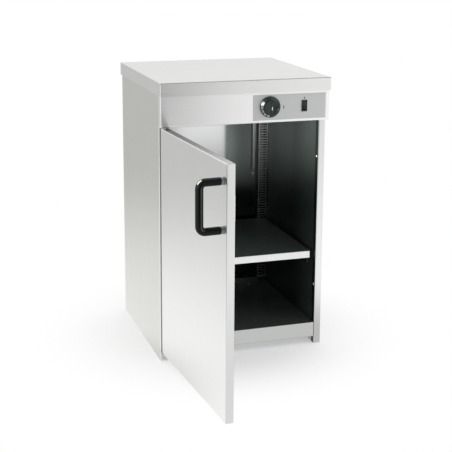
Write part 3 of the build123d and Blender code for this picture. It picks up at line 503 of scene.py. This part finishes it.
def roundedLoop(halfWidth, halfHeight, corner):
    # rounded rectangle: four quarter circles, each about its corner's centre
    steps = smoothness["quarterSteps"]
    quarter = np.linspace(0, np.pi / 2, steps)
    angle = (quarter[None, :] + np.arange(4)[:, None] * np.pi / 2).ravel()
    side = np.repeat([[1, 1], [-1, 1], [-1, -1], [1, -1]], steps, 0)
    a = side[:, 0] * (halfWidth - corner) + corner * np.cos(angle)
    b = side[:, 1] * (halfHeight - corner) + corner * np.sin(angle)
    return a, b


def lofted(levels, centre, across, up, out):
    # rounded rectangles (half width, half height, corner, height) stacked along the out axis and closed
    rows = [(*speck, levels[0][3]), *levels, (*speck, levels[-1][3])]
    loops = [roundedLoop(*row[:3]) for row in rows]
    a, b = np.array([loop[0] for loop in loops]), np.array([loop[1] for loop in loops])
    c = np.repeat([[row[3]] for row in rows], a.shape[1], 1)
    return laidOut(centre, across, up, out, a, b, c)


def printedBar(size, low, high, centre, up, out):
    # thin bar with round ends between two heights over a face
    wide, tall = size[0] / 2, size[1] / 2
    level = (wide, tall, wide - smoothness["barFlat"])
    return lofted([(*level, low), (*level, high)], centre, right, up, out)


# handle: a bent tube with rounded ends on two turned ferrules
handle = {"gripRadius": 8.0, "bend": 12.0, "endRound": 1.5, "tip": 3.0, "tipGap": 2.0, "tipSteps": 9,
          "legSteps": 12, "bendSteps": 14, "gripSteps": 26, "turns": 40, "neck": 0.9, "bead": 2.4,
          "beadFall": 0.8, "beadRound": 0.5}


def bentRoute(start, reach, low, high):
    # out, quarter circle, up, quarter circle and back in, as (outward, height) rows
    bend = handle["bend"]
    turn = np.linspace(0, np.pi / 2, handle["bendSteps"])[1:]
    tip = np.linspace(start, start + handle["tip"], handle["tipSteps"])
    leg = np.concatenate([tip, np.linspace(tip[-1] + handle["tipGap"], reach - bend, handle["legSteps"])])
    lower = np.stack([leg, np.full(len(leg), low)], 1)
    corner = np.stack([reach - bend + bend * np.sin(turn), low + bend - bend * np.cos(turn)], 1)
    half = np.vstack([lower, corner])
    stem = np.linspace(low + bend, high - bend, handle["gripSteps"])[1:-1]
    upper = half[::-1] * (1, -1) + (0, low + high)
    return np.vstack([half, np.stack([np.full(len(stem), reach), stem], 1), upper])


def bentTube(route, radius, side, turns):
    # circles round a route; each circle lies between the route's normal and the side direction
    way = np.gradient(route, axis=0)
    way /= np.linalg.norm(way, axis=1, keepdims=True)
    angle = np.linspace(0, 2 * np.pi, turns, endpoint=False)[None, :, None]
    ring = np.cos(angle) * np.cross(way, side)[:, None, :] + np.sin(angle) * side
    return route[:, None, :] + radius[:, None, None] * ring


def makeHandle():
    # the tube's radius falls near its ends by a quarter circle of the way gone; ferrules are spun profiles
    pivot, axes = doorAxes()
    low, high = extent("handle_ferrules", pivot, axes)
    reach = extent("handle_grip", pivot, axes)[1][1] - handle["gripRadius"]
    wide = (high[0] - low[0]) / 2
    feet = (low[2] + wide, high[2] - wide)
    foot = pivot + axes[0] * (low[0] + wide)
    outline = bentRoute(high[1], reach, *feet)
    route = foot + outline[:, :1] * axes[1] + outline[:, 1:] * upward
    gone = np.concatenate([[0], np.cumsum(np.linalg.norm(np.diff(route, axis=0), axis=1))])
    fromEnd = np.clip(1 - np.minimum(gone, gone[-1] - gone) / handle["endRound"], 0, 1)
    radius = handle["gripRadius"] - handle["endRound"] * (1 - np.sqrt(1 - fromEnd ** 2))
    tube = bentTube(route, radius, axes[0], handle["turns"])
    ends = np.repeat(route[[0, -1]][:, None], handle["turns"], 1)
    tube = np.concatenate([ends[:1], tube, ends[1:]])
    makePiece("handleGrip", [tube], "handleBlack", "door", "handle_black", ["handle_grip"])

    neck, bead, length, fall = wide - handle["neck"], handle["bead"], high[1] - low[1], handle["beadFall"]
    profile = rounded([(0, 0), (wide, 0), (wide, bead), (neck, bead + fall), (neck, length - bead),
                       (wide, length - bead + fall), (wide, length), (0, length)], handle["beadRound"])
    turned = [spun(profile, handle["turns"], foot + axes[1] * low[1] + upward * z, axes[0], upward, axes[1])
              for z in feet]
    makePiece("handleFerrules", turned, "ferruleChrome", "door", "handle_ferrule", ["handle_ferrules"])


makeHandle()
print("handle made")

# door: painted light on its free edge and painted shade on the bend beside it, with insets and heights in
# metres
doorEdge = {"light": (0.90, 0.90, 0.885), "shadeTone": (0.62, 0.62, 0.615), "top": 0.57, "bottom": 0.10,
            "bend": (0.16, 0.165, 0.16), "bendStart": 0.0004, "bendEnd": 0.0032, "bendAbove": 0.95,
            "bendBelow": 0.3, "startSoft": 0.0003, "endSoft": 0.0008}


def shadeDoorEdge():
    # distance from the free edge is the edge's reach less the place's part along the door; the edge gets
    # painted light turning to painted shade downwards, and the strip beside it mixes towards dark painted
    # shade, less so further down
    door = finishes["doorSteel"]
    tree = door.node_tree
    pivot, axes = doorAxes()
    reach = (extent("door_outer_skin", pivot, axes)[1][0] + pivot @ axes[0]) / 1000
    along = addNode(tree, "ShaderNodeVectorMath", operation="DOT_PRODUCT")
    along.inputs[1].default_value = axes[0]
    tree.links.new(addNode(tree, "ShaderNodeTexCoord").outputs["Object"], along.inputs[0])
    inset = combine(tree, "SUBTRACT", float(reach), along.outputs["Value"])
    height, start, end = coordinates(tree)["Z"], doorEdge["bendStart"], doorEdge["bendEnd"]
    past = start + doorEdge["startSoft"]
    heights = (doorEdge["top"], doorEdge["bottom"])
    face = mapped(tree, inset, past, start, 0.0, 1.0)
    mixOver(door, face, doorEdge["light"])
    mixOver(door, combine(tree, "MULTIPLY", face, mapped(tree, height, *heights, 0.0, 1.0)), doorEdge["shadeTone"])
    strip = combine(tree, "MULTIPLY", mapped(tree, inset, start, past, 0.0, 1.0),
                    mapped(tree, inset, end, end - doorEdge["endSoft"], 0.0, 1.0))
    depth = mapped(tree, height, *heights, doorEdge["bendAbove"], doorEdge["bendBelow"])
    mixOver(door, combine(tree, "MULTIPLY", strip, depth), doorEdge["bend"])


shadeDoorEdge()
print("door edge shaded")

# folds: rounded bends along edges of the sheet, each a little proud of the faces it joins; the door's and the
# side's are lighter steel as a painted highlight, the cover's darker steel as a painted shade line
folds = {"doorRadius": 1.2, "doorProud": 0.25, "sideRadius": 1.3, "sideProud": 0.3, "coverRadius": 0.9,
         "coverProud": 0.3, "coverDrop": 0.02, "endGap": 0.6, "steps": 24, "turns": 20}


def rodAlong(start, way, length, radius):
    # circles of one radius about a straight line, shrinking to a point at both ends
    along = np.linspace(0, length, folds["steps"])
    along = np.concatenate([along[:1], along, along[-1:]])
    reach = np.full((len(along), 1), radius)
    reach[[0, -1]] = 0
    angle = np.linspace(0, 2 * np.pi, folds["turns"], endpoint=False)
    across = squareTo(way)
    height = np.repeat(along[:, None], len(angle), 1)
    up = np.cross(across, way)
    return laidOut(start, across, up, way, reach * np.cos(angle), reach * np.sin(angle), height)


def makeFolds():
    # each rod's middle lies inside the corner by its radius, less what stands proud
    pivot, axes = doorAxes()
    low, high = extent("door_outer_skin", pivot, axes)
    radius, gap = folds["doorRadius"], folds["endGap"]
    sunk = radius - folds["doorProud"]
    start = pivot + axes.T @ np.array([low[0] + gap, high[1] - sunk, high[2] - sunk])
    rod = rodAlong(start, axes[0], high[0] - low[0] - 2 * gap, radius)
    makePiece("doorFold", [rod], "bendSteel", "door", "stainless_brushed")
    low, high = extent("left_side_panel")
    radius = folds["sideRadius"]
    sunk = radius - folds["sideProud"]
    start = np.array([low[0] + sunk, low[1] + sunk, low[2] + gap])
    rod = rodAlong(start, upward, high[2] - low[2] - 2 * gap, radius)
    makePiece("sideFold", [rod], "edgeSteel", "cabinet", "stainless_brushed")
    low, high = extent("top_cover")
    radius = folds["coverRadius"]
    sunk, drop = radius - folds["coverProud"], radius + folds["coverDrop"]
    start = np.array([low[0] + gap, low[1] + sunk, high[2] - drop])
    rod = rodAlong(start, right, high[0] - low[0] - 2 * gap, radius)
    makePiece("coverFold", [rod], "shadeSteel", "cabinet", "stainless_brushed")


makeFolds()
print("folds made")

# thermostat knob: conical skirt with figures, and a fluted cap with a grip bar and a line
dial = {"rim": 2.2, "rimRound": 0.6, "round": 0.4, "turns": 96, "figures": ("30", "50", "70", "90"),
        "firstAngle": 183.0, "lastAngle": 255.0, "figureHeight": 4.6, "figureRise": 0.12, "figureInset": 0.3,
        "figureBold": 0.012, "figureSteps": 3}
cap = {"flutes": 36, "fluteSteps": 8, "fluteDepth": 0.45, "fluteRound": 0.7, "lip": 2.2, "dish": 1.7,
       "dishIn": (0.5, 1.6), "dishShare": 0.7, "sunk": 0.2, "barWidth": 5.4, "barLength": 27.0,
       "line": (1.7, 8.0), "lineDrop": 1.6, "lineRise": 0.06,
       # growth of the bar's half width, half length and corner, and height over the dish or the top
       "barFoot": [(0.5, 0.4, 0.4, -0.3), (0.4, 0.3, 0.3, 0.0), (0.0, 0.0, -0.05, 0.5)],
       "barHead": [(-0.25, -0.25, -0.3, -0.5), (-0.7, -0.7, -0.75, -0.1), (-1.3, -1.3, -1.35, 0.0)]}


def onSkirt(angle, radius, height, slope, centre, a, b, c):
    # local right, up and off-surface offsets laid on the skirt at an angle, with their tops pointing outwards
    radial = np.cos(angle) * right + np.sin(angle) * upward
    across = np.cos(angle - np.pi / 2) * right + np.sin(angle - np.pi / 2) * upward
    climb, lean = np.array([1, -slope]) / math.hypot(1, slope), np.array([slope, 1]) / math.hypot(1, slope)
    up, off = climb[0] * radial + climb[1] * toFront, lean[0] * radial + lean[1] * toFront
    return laidOut(centre + radial * radius + toFront * height, across, up, off, a, b, c)


def figureMesh(text, height, rise):
    # a figure as a mesh about its own middle
    curve = bpy.data.curves.new("figure", "FONT")
    curve.body, curve.size, curve.extrude, curve.offset = text, 1.0, 0.01, dial["figureBold"]
    curve.align_x, curve.resolution_u = "CENTER", dial["figureSteps"]
    holder = bpy.data.objects.new("figure", curve)
    scene.collection.objects.link(holder)
    bpy.context.view_layer.update()
    mesh = bpy.data.meshes.new_from_object(holder.evaluated_get(bpy.context.evaluated_depsgraph_get()))
    bpy.data.objects.remove(holder)
    points = np.empty(len(mesh.vertices) * 3)
    mesh.vertices.foreach_get("co", points)
    points = points.reshape(-1, 3)
    low, high = points.min(0), points.max(0)
    points = (points - (low + high) / 2) * height / (high[1] - low[1])
    points[:, 2] = np.where(points[:, 2] > 0, rise, -rise)
    return mesh, points


def makeFigures(centre, outer, inner, slope):
    # figures at even angles, all at one radius between the skirt's edge and the cap
    joined = bmesh.new()
    middle = (outer + inner) / 2 - dial["figureInset"]
    height = dial["rim"] + (outer - middle) * slope
    angles = np.radians(np.linspace(dial["firstAngle"], dial["lastAngle"], len(dial["figures"])))
    for text, angle in zip(dial["figures"], angles):
        mesh, points = figureMesh(text, dial["figureHeight"], dial["figureRise"])
        laid = onSkirt(angle, middle, height, slope, centre, *points.T) / 1000
        mesh.vertices.foreach_set("co", laid.ravel())
        joined.from_mesh(mesh)
        bpy.data.meshes.remove(mesh)
    mesh = bpy.data.meshes.new("dialFigures")
    cleanMesh(mesh, joined)
    addPiece("dialFigures", mesh, "whitePrint", "knob", "knob_black")


def flutedSide(radius, foot, top, centre):
    # side wall: the radius dips by a rectified cosine of the angle, fading out at foot and top, up to a dish
    angle = np.linspace(0, 2 * np.pi, cap["flutes"] * cap["fluteSteps"], endpoint=False)
    lip, floor, (edge, bottom) = cap["lip"], top - cap["dish"], radius - cap["lip"] - np.array(cap["dishIn"])
    level = np.array([0.0, 0.0, 0.06, 0.14, 0.3, 0.7, 0.86, 0.94, 1.0, 1.0])
    depth = np.array([0.0, 0.0, 0.3, 1.0, 1.0, 1.0, 1.0, 0.4, 0.0, 0.0]) * cap["fluteDepth"]
    inset = np.array([0.0, 0.0, 0.0, 0.0, 0.0, 0.0, 0.0, 0.15, 0.6, lip])
    dip = np.maximum(0, np.cos(angle * cap["flutes"])) ** cap["fluteRound"]
    reach = radius - inset[:, None] - depth[:, None] * dip
    reach[0] = 0
    height = np.repeat((foot + (top - foot) * level)[:, None], len(angle), 1)
    dish = np.array([(edge, top - cap["dish"] * cap["dishShare"]), (bottom, floor), (0, floor)])
    reach = np.vstack([reach, np.repeat(dish[:, :1], len(angle), 1)])
    height = np.vstack([height, np.repeat(dish[:, 1:], len(angle), 1)])
    return laidOut(centre, right, upward, toFront, reach * np.cos(angle), reach * np.sin(angle), height)


def makeKnob():
    # radii and heights are half the reach of dial and cap, and their reach in front of the control plate
    low, high = extent("knob_dial")
    capLow, capHigh = extent("knob_cap")
    centre = np.array([(low[0] + high[0]) / 2, high[1], (low[2] + high[2]) / 2])
    outer, inner = (high[0] - low[0]) / 2, (capHigh[0] - capLow[0]) / 2
    front, top = high[1] - low[1], high[1] - capLow[1]
    rim, edge, fade = dial["rim"], dial["rimRound"], dial["round"]
    skirt = rounded([(0, 0), (outer - edge, 0), (outer, edge), (outer, rim), (inner - fade, front),
                     (0, front)], fade)
    makePiece("knobSkirt", [spun(skirt, dial["turns"], centre, right, upward, toFront)], "knobBlack", "knob",
              "knob_black", ["knob_dial"])
    makeFigures(centre, outer, inner, (front - rim) / (outer - inner))
    wide, tall = cap["barWidth"] / 2, cap["barLength"] / 2
    levels = [(top - cap["dish"], row) for row in cap["barFoot"]] + [(top, row) for row in cap["barHead"]]
    bar = [(wide + a, tall + b, wide + c, base + d) for base, (a, b, c, d) in levels]
    body = [flutedSide(inner, front - cap["sunk"], top, centre), lofted(bar, centre, right, upward, toFront)]
    makePiece("knobCap", body, "knobBlack", "knob", "knob_black", ["knob_cap"])
    low, high = top - cap["sunk"], top + cap["lineRise"]
    line = printedBar(cap["line"], low, high, centre - upward * cap["lineDrop"], upward, toFront)
    makePiece("knobLine", [line], "whitePrint", "knob", "knob_black")


makeKnob()
print("knob made")

# printed marks on the control plate
marks = {"tickPlace": (86.5, 581.0), "tickSize": (1.7, 8.0), "onPlace": 4.9, "onSize": (1.7, 5.2),
         "rise": 0.06, "sunk": 0.1}


def makeMarks():
    # two thin bars: one beside the dial, one centred over the switch
    front = extent("control_plate")[0][1]
    low, high = extent("switch_housing")
    spots = [(marks["tickPlace"], marks["tickSize"]),
             (((low[0] + high[0]) / 2, high[2] + marks["onPlace"]), marks["onSize"])]
    bars = [printedBar(size, -marks["sunk"], marks["rise"], np.array([x, front, z]), upward, toFront)
            for (x, z), size in spots]
    makePiece("plateMarks", bars, "darkPrint", "cabinet", "control_face")


makeMarks()
print("marks made")

# rocker: I and O, laid on the tilted halves of its face
rockerMarks = {"bar": (0.9, 3.0), "ring": (1.35, 0.45), "turns": 28, "rise": 0.05, "sunk": 0.12,
               "overlap": 1.0}


def rockerHalves():
    # middle and upward direction of the face's two halves, from its lowest, middle and highest edges
    corners = np.unique(nodePoints("switch_rocker").round(2), axis=0)
    low, high = extent("switch_rocker")
    middle = (low + high)[2] / 2
    halves = []
    for side in (-1, 1):
        half = corners[side * (corners[:, 2] - middle) > -rockerMarks["overlap"]]
        outermost = half[:, 1] if side < 0 else -half[:, 2]
        tip, ridge = [half[np.argsort(order)][:2].mean(0) for order in (outermost, abs(half[:, 2] - middle))]
        rise = (tip - ridge) * side
        halves.append(((tip + ridge) / 2, rise / np.linalg.norm(rise)))
    return halves


def makeRockerMarks():
    # a bar on the upper half and a ring on the lower half; the ring is a square section turned about its axis
    lower, upper = rockerHalves()
    sunk, rise = -rockerMarks["sunk"], rockerMarks["rise"]
    bar = printedBar(rockerMarks["bar"], sunk, rise, *upper, np.cross(right, upper[1]))
    outer, thick = rockerMarks["ring"]
    inner = outer - thick
    section = [(inner, sunk), (inner, rise), (outer, rise), (outer, sunk), (inner, sunk)]
    ring = spun(section, rockerMarks["turns"], lower[0], right, lower[1], np.cross(right, lower[1]))
    makePiece("rockerMarks", [bar, ring], "whitePrint", "rocker", "switch_black")


makeRockerMarks()
print("rocker marks made")

# screws: domed heads with a cross recess; radius and height of a pan head and of the small one at the sensor
screws = {"pan": (3.4, 1.6), "small": (2.9, 1.6), "guardRadius": 2.6, "guardSheet": 0.8, "rows": 4,
          "rings": 16, "turns": 64, "rimStart": 0.97, "foot": 0.3, "dome": 0.5, "recess": 0.42, "arm": 0.22,
          "depth": 0.55, "soft": 0.12}


def screwHead(radius, rise, centre, out):
    # height over polar rings: a dome that falls to the rim, less a cross where the smaller offset is within
    # the arm and the larger one within the recess
    across = squareTo(out)
    share = np.linspace(0, screws["rimStart"], screws["rings"])
    share = np.concatenate([share, [1.0, 1.0, screws["foot"]]])[:, None]
    angle = np.linspace(0, 2 * np.pi, screws["turns"], endpoint=False)
    a, b = radius * share * np.cos(angle), radius * share * np.sin(angle)
    height = rise * (1 - screws["dome"] * share ** 3) + 0 * a
    narrow, far = np.minimum(abs(a), abs(b)), np.maximum(abs(a), abs(b))
    arm, recess = [np.clip((screws[size] * radius - offset) / screws["soft"], 0, 1)
                   for size, offset in (("arm", narrow), ("recess", far))]
    height -= arm * recess * screws["depth"] * rise
    height[-3:] = np.array([[rise * (1 - screws["dome"])], [0.0], [0.0]])
    return laidOut(centre, across, np.cross(out, across), out, a, b, height)


def makeScrews():
    # every set of heads, placed from the reach of the screws it stands for
    radius, rise = screws["pan"]
    (x0, _, z0), (x1, rear, z1) = extent("back_panel_screws")
    heights = np.linspace(z0 + radius, z1 - radius, screws["rows"])
    heads = [screwHead(radius, rise, np.array([x, rear - rise, z]), backward)
             for x in (x0 + radius, x1 - radius) for z in heights]
    makePiece("backScrews", heads, "zincParts", "cabinet", "zinc_fittings", ["back_panel_screws"])
    (x0, front, z0), (x1, _, z1) = extent("hinge_screws")
    heads = [screwHead(radius, rise, np.array([(x0 + x1) / 2, front + rise, z]), toFront)
             for z in (z0 + radius, z1 - radius)]
    makePiece("hingeScrews", heads, "zincParts", "cabinet", "zinc_fittings", ["hinge_screws"])
    radius, sheet = screws["guardRadius"], screws["guardSheet"]
    (x0, y0, z0), (x1, y1, z1) = extent("guard_screws")
    heads = [screwHead(radius, z1 - z0 - sheet, np.array([x, (y0 + y1) / 2, z0 + sheet]), upward)
             for x in (x0 + radius, (x0 + x1) / 2, x1 - radius)]
    makePiece("guardScrews", heads, "zincParts", "cabinet", "zinc_fittings", ["guard_screws"])
    radius, rise = screws["small"]
    (x0, front, z0), (x1, _, z1) = extent("sensor_screw")
    heads = [screwHead(radius, rise, np.array([(x0 + x1) / 2, front + rise, (z0 + z1) / 2]), toFront)]
    makePiece("sensorScrew", heads, "zincParts", "cabinet", "zinc_fittings", ["sensor_screw"])


makeScrews()
print("screws made")

# cable gland: six-sided body, ribbed dome and bore
gland = {"flats": 6, "turns": 144, "bodyLength": 5.5, "flatsIn": 0.1, "neckShare": 0.6, "round": 0.5,
         "bore": 4.0, "boreRound": (0.3, 0.4), "depth": 5.0, "domeRadius": 9.4, "waistIn": 0.6,
         "waistHeight": 0.8, "ribStart": 1.4, "ribs": 18, "ribDepth": 0.45, "ribRound": 0.5,
         # the dome's top: inset, share of the ribs left and depth below its end
         "crown": [(0.3, 1.0, 3.0), (1.4, 0.4, 1.2), (3.0, 0.0, 0.3), (4.4, 0.0, 0.0)]}


def makeGland():
    # radius over angle and level: the body is a hexagon, flat distance over the angle's cosine; the dome dips
    # in ribs by a rectified cosine
    (x0, _, z0), (x1, rear, z1) = extent("cable_gland")
    start = extent("back_panel")[1][1]
    centre = np.array([(x0 + x1) / 2, start, (z0 + z1) / 2])
    length, outer = rear - start, (x1 - x0) / 2
    angle = np.linspace(0, 2 * np.pi, gland["turns"], endpoint=False)
    even = np.ones(len(angle))
    sector = 2 * np.pi / gland["flats"]
    hexagon = (outer - gland["flatsIn"]) * np.cos(sector / 2) / np.cos((angle % sector) - sector / 2)
    rib = gland["ribDepth"] * np.maximum(0, np.cos(angle * gland["ribs"])) ** gland["ribRound"]
    dome, body, edge, below = gland["domeRadius"], gland["bodyLength"], gland["round"], -gland["depth"]
    bore, (boreOut, boreDown) = gland["bore"], gland["boreRound"]
    neck, waist = hexagon * gland["neckShare"], (dome - gland["waistIn"]) * even
    rows = [(bore * even, below), (neck, below), (neck, 0.0), (hexagon - edge, 0.0), (hexagon, edge),
            (hexagon, body - edge), (hexagon - edge, body), (waist, body),
            (waist, body + gland["waistHeight"]), (dome - rib, body + gland["ribStart"])]
    rows += [(dome - inset - rib * share, length - drop) for inset, share, drop in gland["crown"]]
    rows += [((bore + boreOut) * even, length), (bore * even, length - boreDown), (bore * even, below)]
    radius = np.array([row[0] for row in rows])
    height = np.repeat([[row[1]] for row in rows], len(angle), 1)
    shape = laidOut(centre, right, upward, backward, radius * np.cos(angle), radius * np.sin(angle), height)
    makePiece("cableGland", [shape], "blackMoulding", "cabinet", "black_moulding", ["cable_gland"])


makeGland()
print("gland made")

# rivets of the door magnets
rivets = {"radius": 3.2, "rise": 1.7, "seat": 1.8, "steps": 12, "turns": 40}


def makeRivets():
    # shallow domes: height is the rise times the root of one minus the squared share of the radius
    low, high = extent("magnet_rivets")
    share = np.sin(np.linspace(0, np.pi / 2, rivets["steps"]))
    height = np.sqrt(np.maximum(0, 1 - share ** 2))
    profile = np.vstack([np.stack([rivets["radius"] * share, rivets["rise"] * height], 1), [(0, 0)]])
    x, y = low[0] + rivets["seat"], (low[1] + high[1]) / 2
    heads = [spun(profile, rivets["turns"], np.array([x, y, z]), backward, upward, -right)
             for z in (low[2] + rivets["radius"], high[2] - rivets["radius"])]
    makePiece("magnetRivets", heads, "rivetSteel", "cabinet", "zinc_fittings", ["magnet_rivets"])


makeRivets()
print("rivets made")

# lights, floor and surroundings
behindCamera = (-0.139, -0.990, -0.05)
studio = {
    # lamps for everything: place, size and power
    "lamps": {"keyLight": ((2.6, -2.4, 2.4), 2.4, 24.0),
              "overLight": ((0.3, 0.8, 3.6), 3.0, 20.0),
              "leftLight": ((-3.2, 0.6, 2.2), 2.0, 25.0)},
    # small lamps: the pieces that each lights, then its place, size and power
    "sparks": [(("handleGrip",), ((-1.12, 0.04, 1.64), 1.25, 370.0)),
               (("handleGrip",), ((0.53, -1.42, 0.28), 0.36, 3.6)),
               (("knobSkirt", "knobCap"), ((-0.75, -1.54, 0.90), 0.55, 50.0)),
               (("right_upright", "sensor_guard"), ((-0.10, -1.10, 0.56), 0.30, 8.0)),
               (("magnetRivets",), ((-0.45, -0.95, 0.85), 0.30, 34.0))],
    "aim": (0.0, 0.0, 0.3),
    "room": 0.90,  # what falls on the object from all round
    # what metal sees: a side, the cosines from it between which the tone turns, and the tones there
    "bright": ((0.60, -0.40, 0.70), -0.70, 0.30, 0.66, 1.08),
    "dark": (behindCamera, 0.913, 0.937, 1.0, 0.14),
    "ceiling": ((0.05, -0.30, 0.95), 0.36, 0.70, 1.0, 0.30),
    "panel": (-0.94, -0.30, 0.06), "panelInner": 20.0, "panelOuter": 34.0,  # side and degrees from it
    "panelBright": 1.8,
    "floor": 0.90, "fibre": (0.84, 0.96), "fibreGrain": 60.0, "shine": 0.1,
    "rings": (0.5, 1.0, 2.0, 4.0, 9.0), "turns": 64,
    "shadowEdge": 0.18, "paperEdge": 0.48,  # radii between which the shadow fades into plain white
    "wash": 0.30,  # share of plain white inside the first
    # what metal sees of the floor: dimmer to one side and far off, behind the camera, and with a painted
    # shadow under the object
    "floorSide": ((-0.50, 0.85, 0.0), -0.3, 0.7, 0.0, 1.0), "sideRadii": (0.2, 2.0),
    "floorTones": (1.12, 0.70),
    "floorBack": (behindCamera, 0.911, 0.941, 0.0, 1.0), "backRadii": (1.6, 2.5),
    "floorDark": 0.04, "contactPlace": (0.08, -0.22, 0.0), "contactRadii": (0.20, 0.40), "contact": 0.62,
}


def softLight(name, place, size, power):
    # square lamp that looks at the middle of the object
    lamp = bpy.data.lights.new(name, "AREA")
    lamp.shape = "SQUARE"
    lamp.size = size
    lamp.energy = power
    lampObject = bpy.data.objects.new(name, lamp)
    lampObject.location = place
    lampObject.rotation_euler = (Vector(studio["aim"]) - Vector(place)).to_track_quat("-Z", "Y").to_euler()
    lampObject.visible_camera = False
    scene.collection.objects.link(lampObject)
    return lampObject


def makeLights():
    # three lamps for everything, then the small ones, each linked to its own pieces
    for name, lamp in studio["lamps"].items():
        softLight(name, *lamp)
    for index, (lit, lamp) in enumerate(studio["sparks"]):
        receivers = bpy.data.collections.new(f"sparkReceivers{index}")
        for name in lit:
            receivers.objects.link(nodes[name] if name in nodes else bpy.data.objects[name])
        softLight(f"spark{index}", *lamp).light_linking.receiver_collection = receivers


def turnedTo(tree, vector, side, *steps):
    # smooth step of the cosine between a vector and a side of the room
    unit = addNode(tree, "ShaderNodeVectorMath", operation="NORMALIZE")
    dot = addNode(tree, "ShaderNodeVectorMath", operation="DOT_PRODUCT")
    dot.inputs[1].default_value = Vector(side).normalized()
    tree.links.new(vector, unit.inputs[0])
    tree.links.new(unit.outputs["Vector"], dot.inputs[0])
    return mapped(tree, dot.outputs["Value"], *steps)


def mixShaders(tree, amount, first, second):
    # first times one minus amount, plus second times amount
    mix = addNode(tree, "ShaderNodeMixShader")
    tree.links.new(amount, mix.inputs["Fac"])
    tree.links.new(first, mix.inputs[1])
    tree.links.new(second, mix.inputs[2])
    return mix.outputs["Shader"]


def mirroredRays(tree, rays):
    # one for rays that come off metal or through glass
    return combine(tree, "MAXIMUM", rays["Is Glossy Ray"], rays["Is Transmission Ray"])


def makeWorld():
    # camera rays see white, mirrored rays the room with its dark side, other rays an even glow
    world = bpy.data.worlds.new("world")
    scene.world = world
    world.use_nodes = True
    tree = world.node_tree
    tree.nodes.clear()
    way = addNode(tree, "ShaderNodeTexCoord").outputs["Generated"]
    rays = addNode(tree, "ShaderNodeLightPath").outputs
    bright, dark, ceiling = [turnedTo(tree, way, *studio[part]) for part in ("bright", "dark", "ceiling")]
    level = combine(tree, "MULTIPLY", bright, combine(tree, "MULTIPLY", dark, ceiling))
    cosines = [math.cos(math.radians(studio[edge])) for edge in ("panelOuter", "panelInner")]
    panel = turnedTo(tree, way, studio["panel"], *cosines, 0.0, studio["panelBright"])
    room, mirror, white = [addNode(tree, "ShaderNodeBackground", Color=(1, 1, 1, 1)) for _ in range(3)]
    room.inputs["Strength"].default_value = studio["room"]
    tree.links.new(combine(tree, "MAXIMUM", level, panel), mirror.inputs["Strength"])
    room, mirror, white = [node.outputs["Background"] for node in (room, mirror, white)]
    inside = mixShaders(tree, mirroredRays(tree, rays), room, mirror)
    seen = mixShaders(tree, rays["Is Camera Ray"], inside, white)
    tree.links.new(seen, addNode(tree, "ShaderNodeOutputWorld").inputs["Surface"])


def floorTone(tree, where, far):
    # what mirrored rays see of the floor: a tone that dims by side and distance, times one less what lies
    # behind the camera, times a painted shadow under the object
    dim = combine(tree, "MULTIPLY", turnedTo(tree, where, *studio["floorSide"]),
                  mapped(tree, far, *studio["sideRadii"], 0.0, 1.0))
    tone = mapped(tree, dim, 0.0, 1.0, *studio["floorTones"], smooth=False)
    behind = combine(tree, "MULTIPLY", turnedTo(tree, where, *studio["floorBack"]),
                     mapped(tree, far, *studio["backRadii"], 0.0, 1.0))
    contact = addNode(tree, "ShaderNodeVectorMath", operation="DISTANCE")
    contact.inputs[1].default_value = studio["contactPlace"]
    tree.links.new(where, contact.inputs[0])
    # painted shadow: the floor darker under the object, as mirrored rays see it
    under = mapped(tree, contact.outputs["Value"], *studio["contactRadii"], studio["contact"], 1.0)
    lit = combine(tree, "MULTIPLY", under, combine(tree, "SUBTRACT", 1.0, behind))
    return combine(tree, "MAXIMUM", combine(tree, "MULTIPLY", tone, lit), studio["floorDark"])


def paperMaterial():
    # white paper that keeps the shadow near the object and turns plain white further out
    material, tree, shader = newMaterial("floorPaper")
    fibre = spread(tree, grainNoise(tree, (studio["fibreGrain"],) * 3, detail=4.0), *studio["fibre"])
    tree.links.new(fibre, shader.inputs["Roughness"])
    shader.inputs["Base Color"].default_value = (studio["floor"],) * 3 + (1,)
    shader.inputs["Specular IOR Level"].default_value = studio["shine"]
    where = addNode(tree, "ShaderNodeTexCoord").outputs["Object"]
    rays = addNode(tree, "ShaderNodeLightPath").outputs
    length = addNode(tree, "ShaderNodeVectorMath", operation="LENGTH")
    tree.links.new(where, length.inputs[0])
    far = length.outputs["Value"]
    white, mirror = [addNode(tree, "ShaderNodeEmission", Color=(1, 1, 1, 1)) for _ in range(2)]
    tree.links.new(floorTone(tree, where, far), mirror.inputs["Strength"])
    inside = mixShaders(tree, mirroredRays(tree, rays), shader.outputs["BSDF"], mirror.outputs["Emission"])
    whiter = mapped(tree, far, studio["shadowEdge"], studio["paperEdge"], studio["wash"], 1.0)
    seen = mixShaders(tree, combine(tree, "MULTIPLY", whiter, rays["Is Camera Ray"]), inside,
                      white.outputs["Emission"])
    tree.links.new(seen, tree.nodes["Material Output"].inputs["Surface"])
    return material


def makeFloor():
    # flat disc: points on rings of growing radius round a middle point
    angle = np.linspace(0, 2 * np.pi, studio["turns"], endpoint=False)
    ring, around = np.meshgrid(np.array(studio["rings"]), angle, indexing="ij")
    points = np.stack([ring * np.cos(around), ring * np.sin(around), 0 * ring], -1).reshape(-1, 3)
    faces = gridFaces(*ring.shape).tolist()
    inmost = np.arange(len(angle))
    faces += np.stack([np.full(len(angle), len(points)), inmost, np.roll(inmost, -1)], -1).tolist()
    mesh = bpy.data.meshes.new("floor")
    mesh.from_pydata([*points.tolist(), (0.0, 0.0, 0.0)], [], faces)
    mesh.materials.append(paperMaterial())
    floor = bpy.data.objects.new("floor", mesh)
    scene.collection.objects.link(floor)


makeLights()
makeWorld()
makeFloor()
scene.view_settings.view_transform = "Standard"
print("studio set")
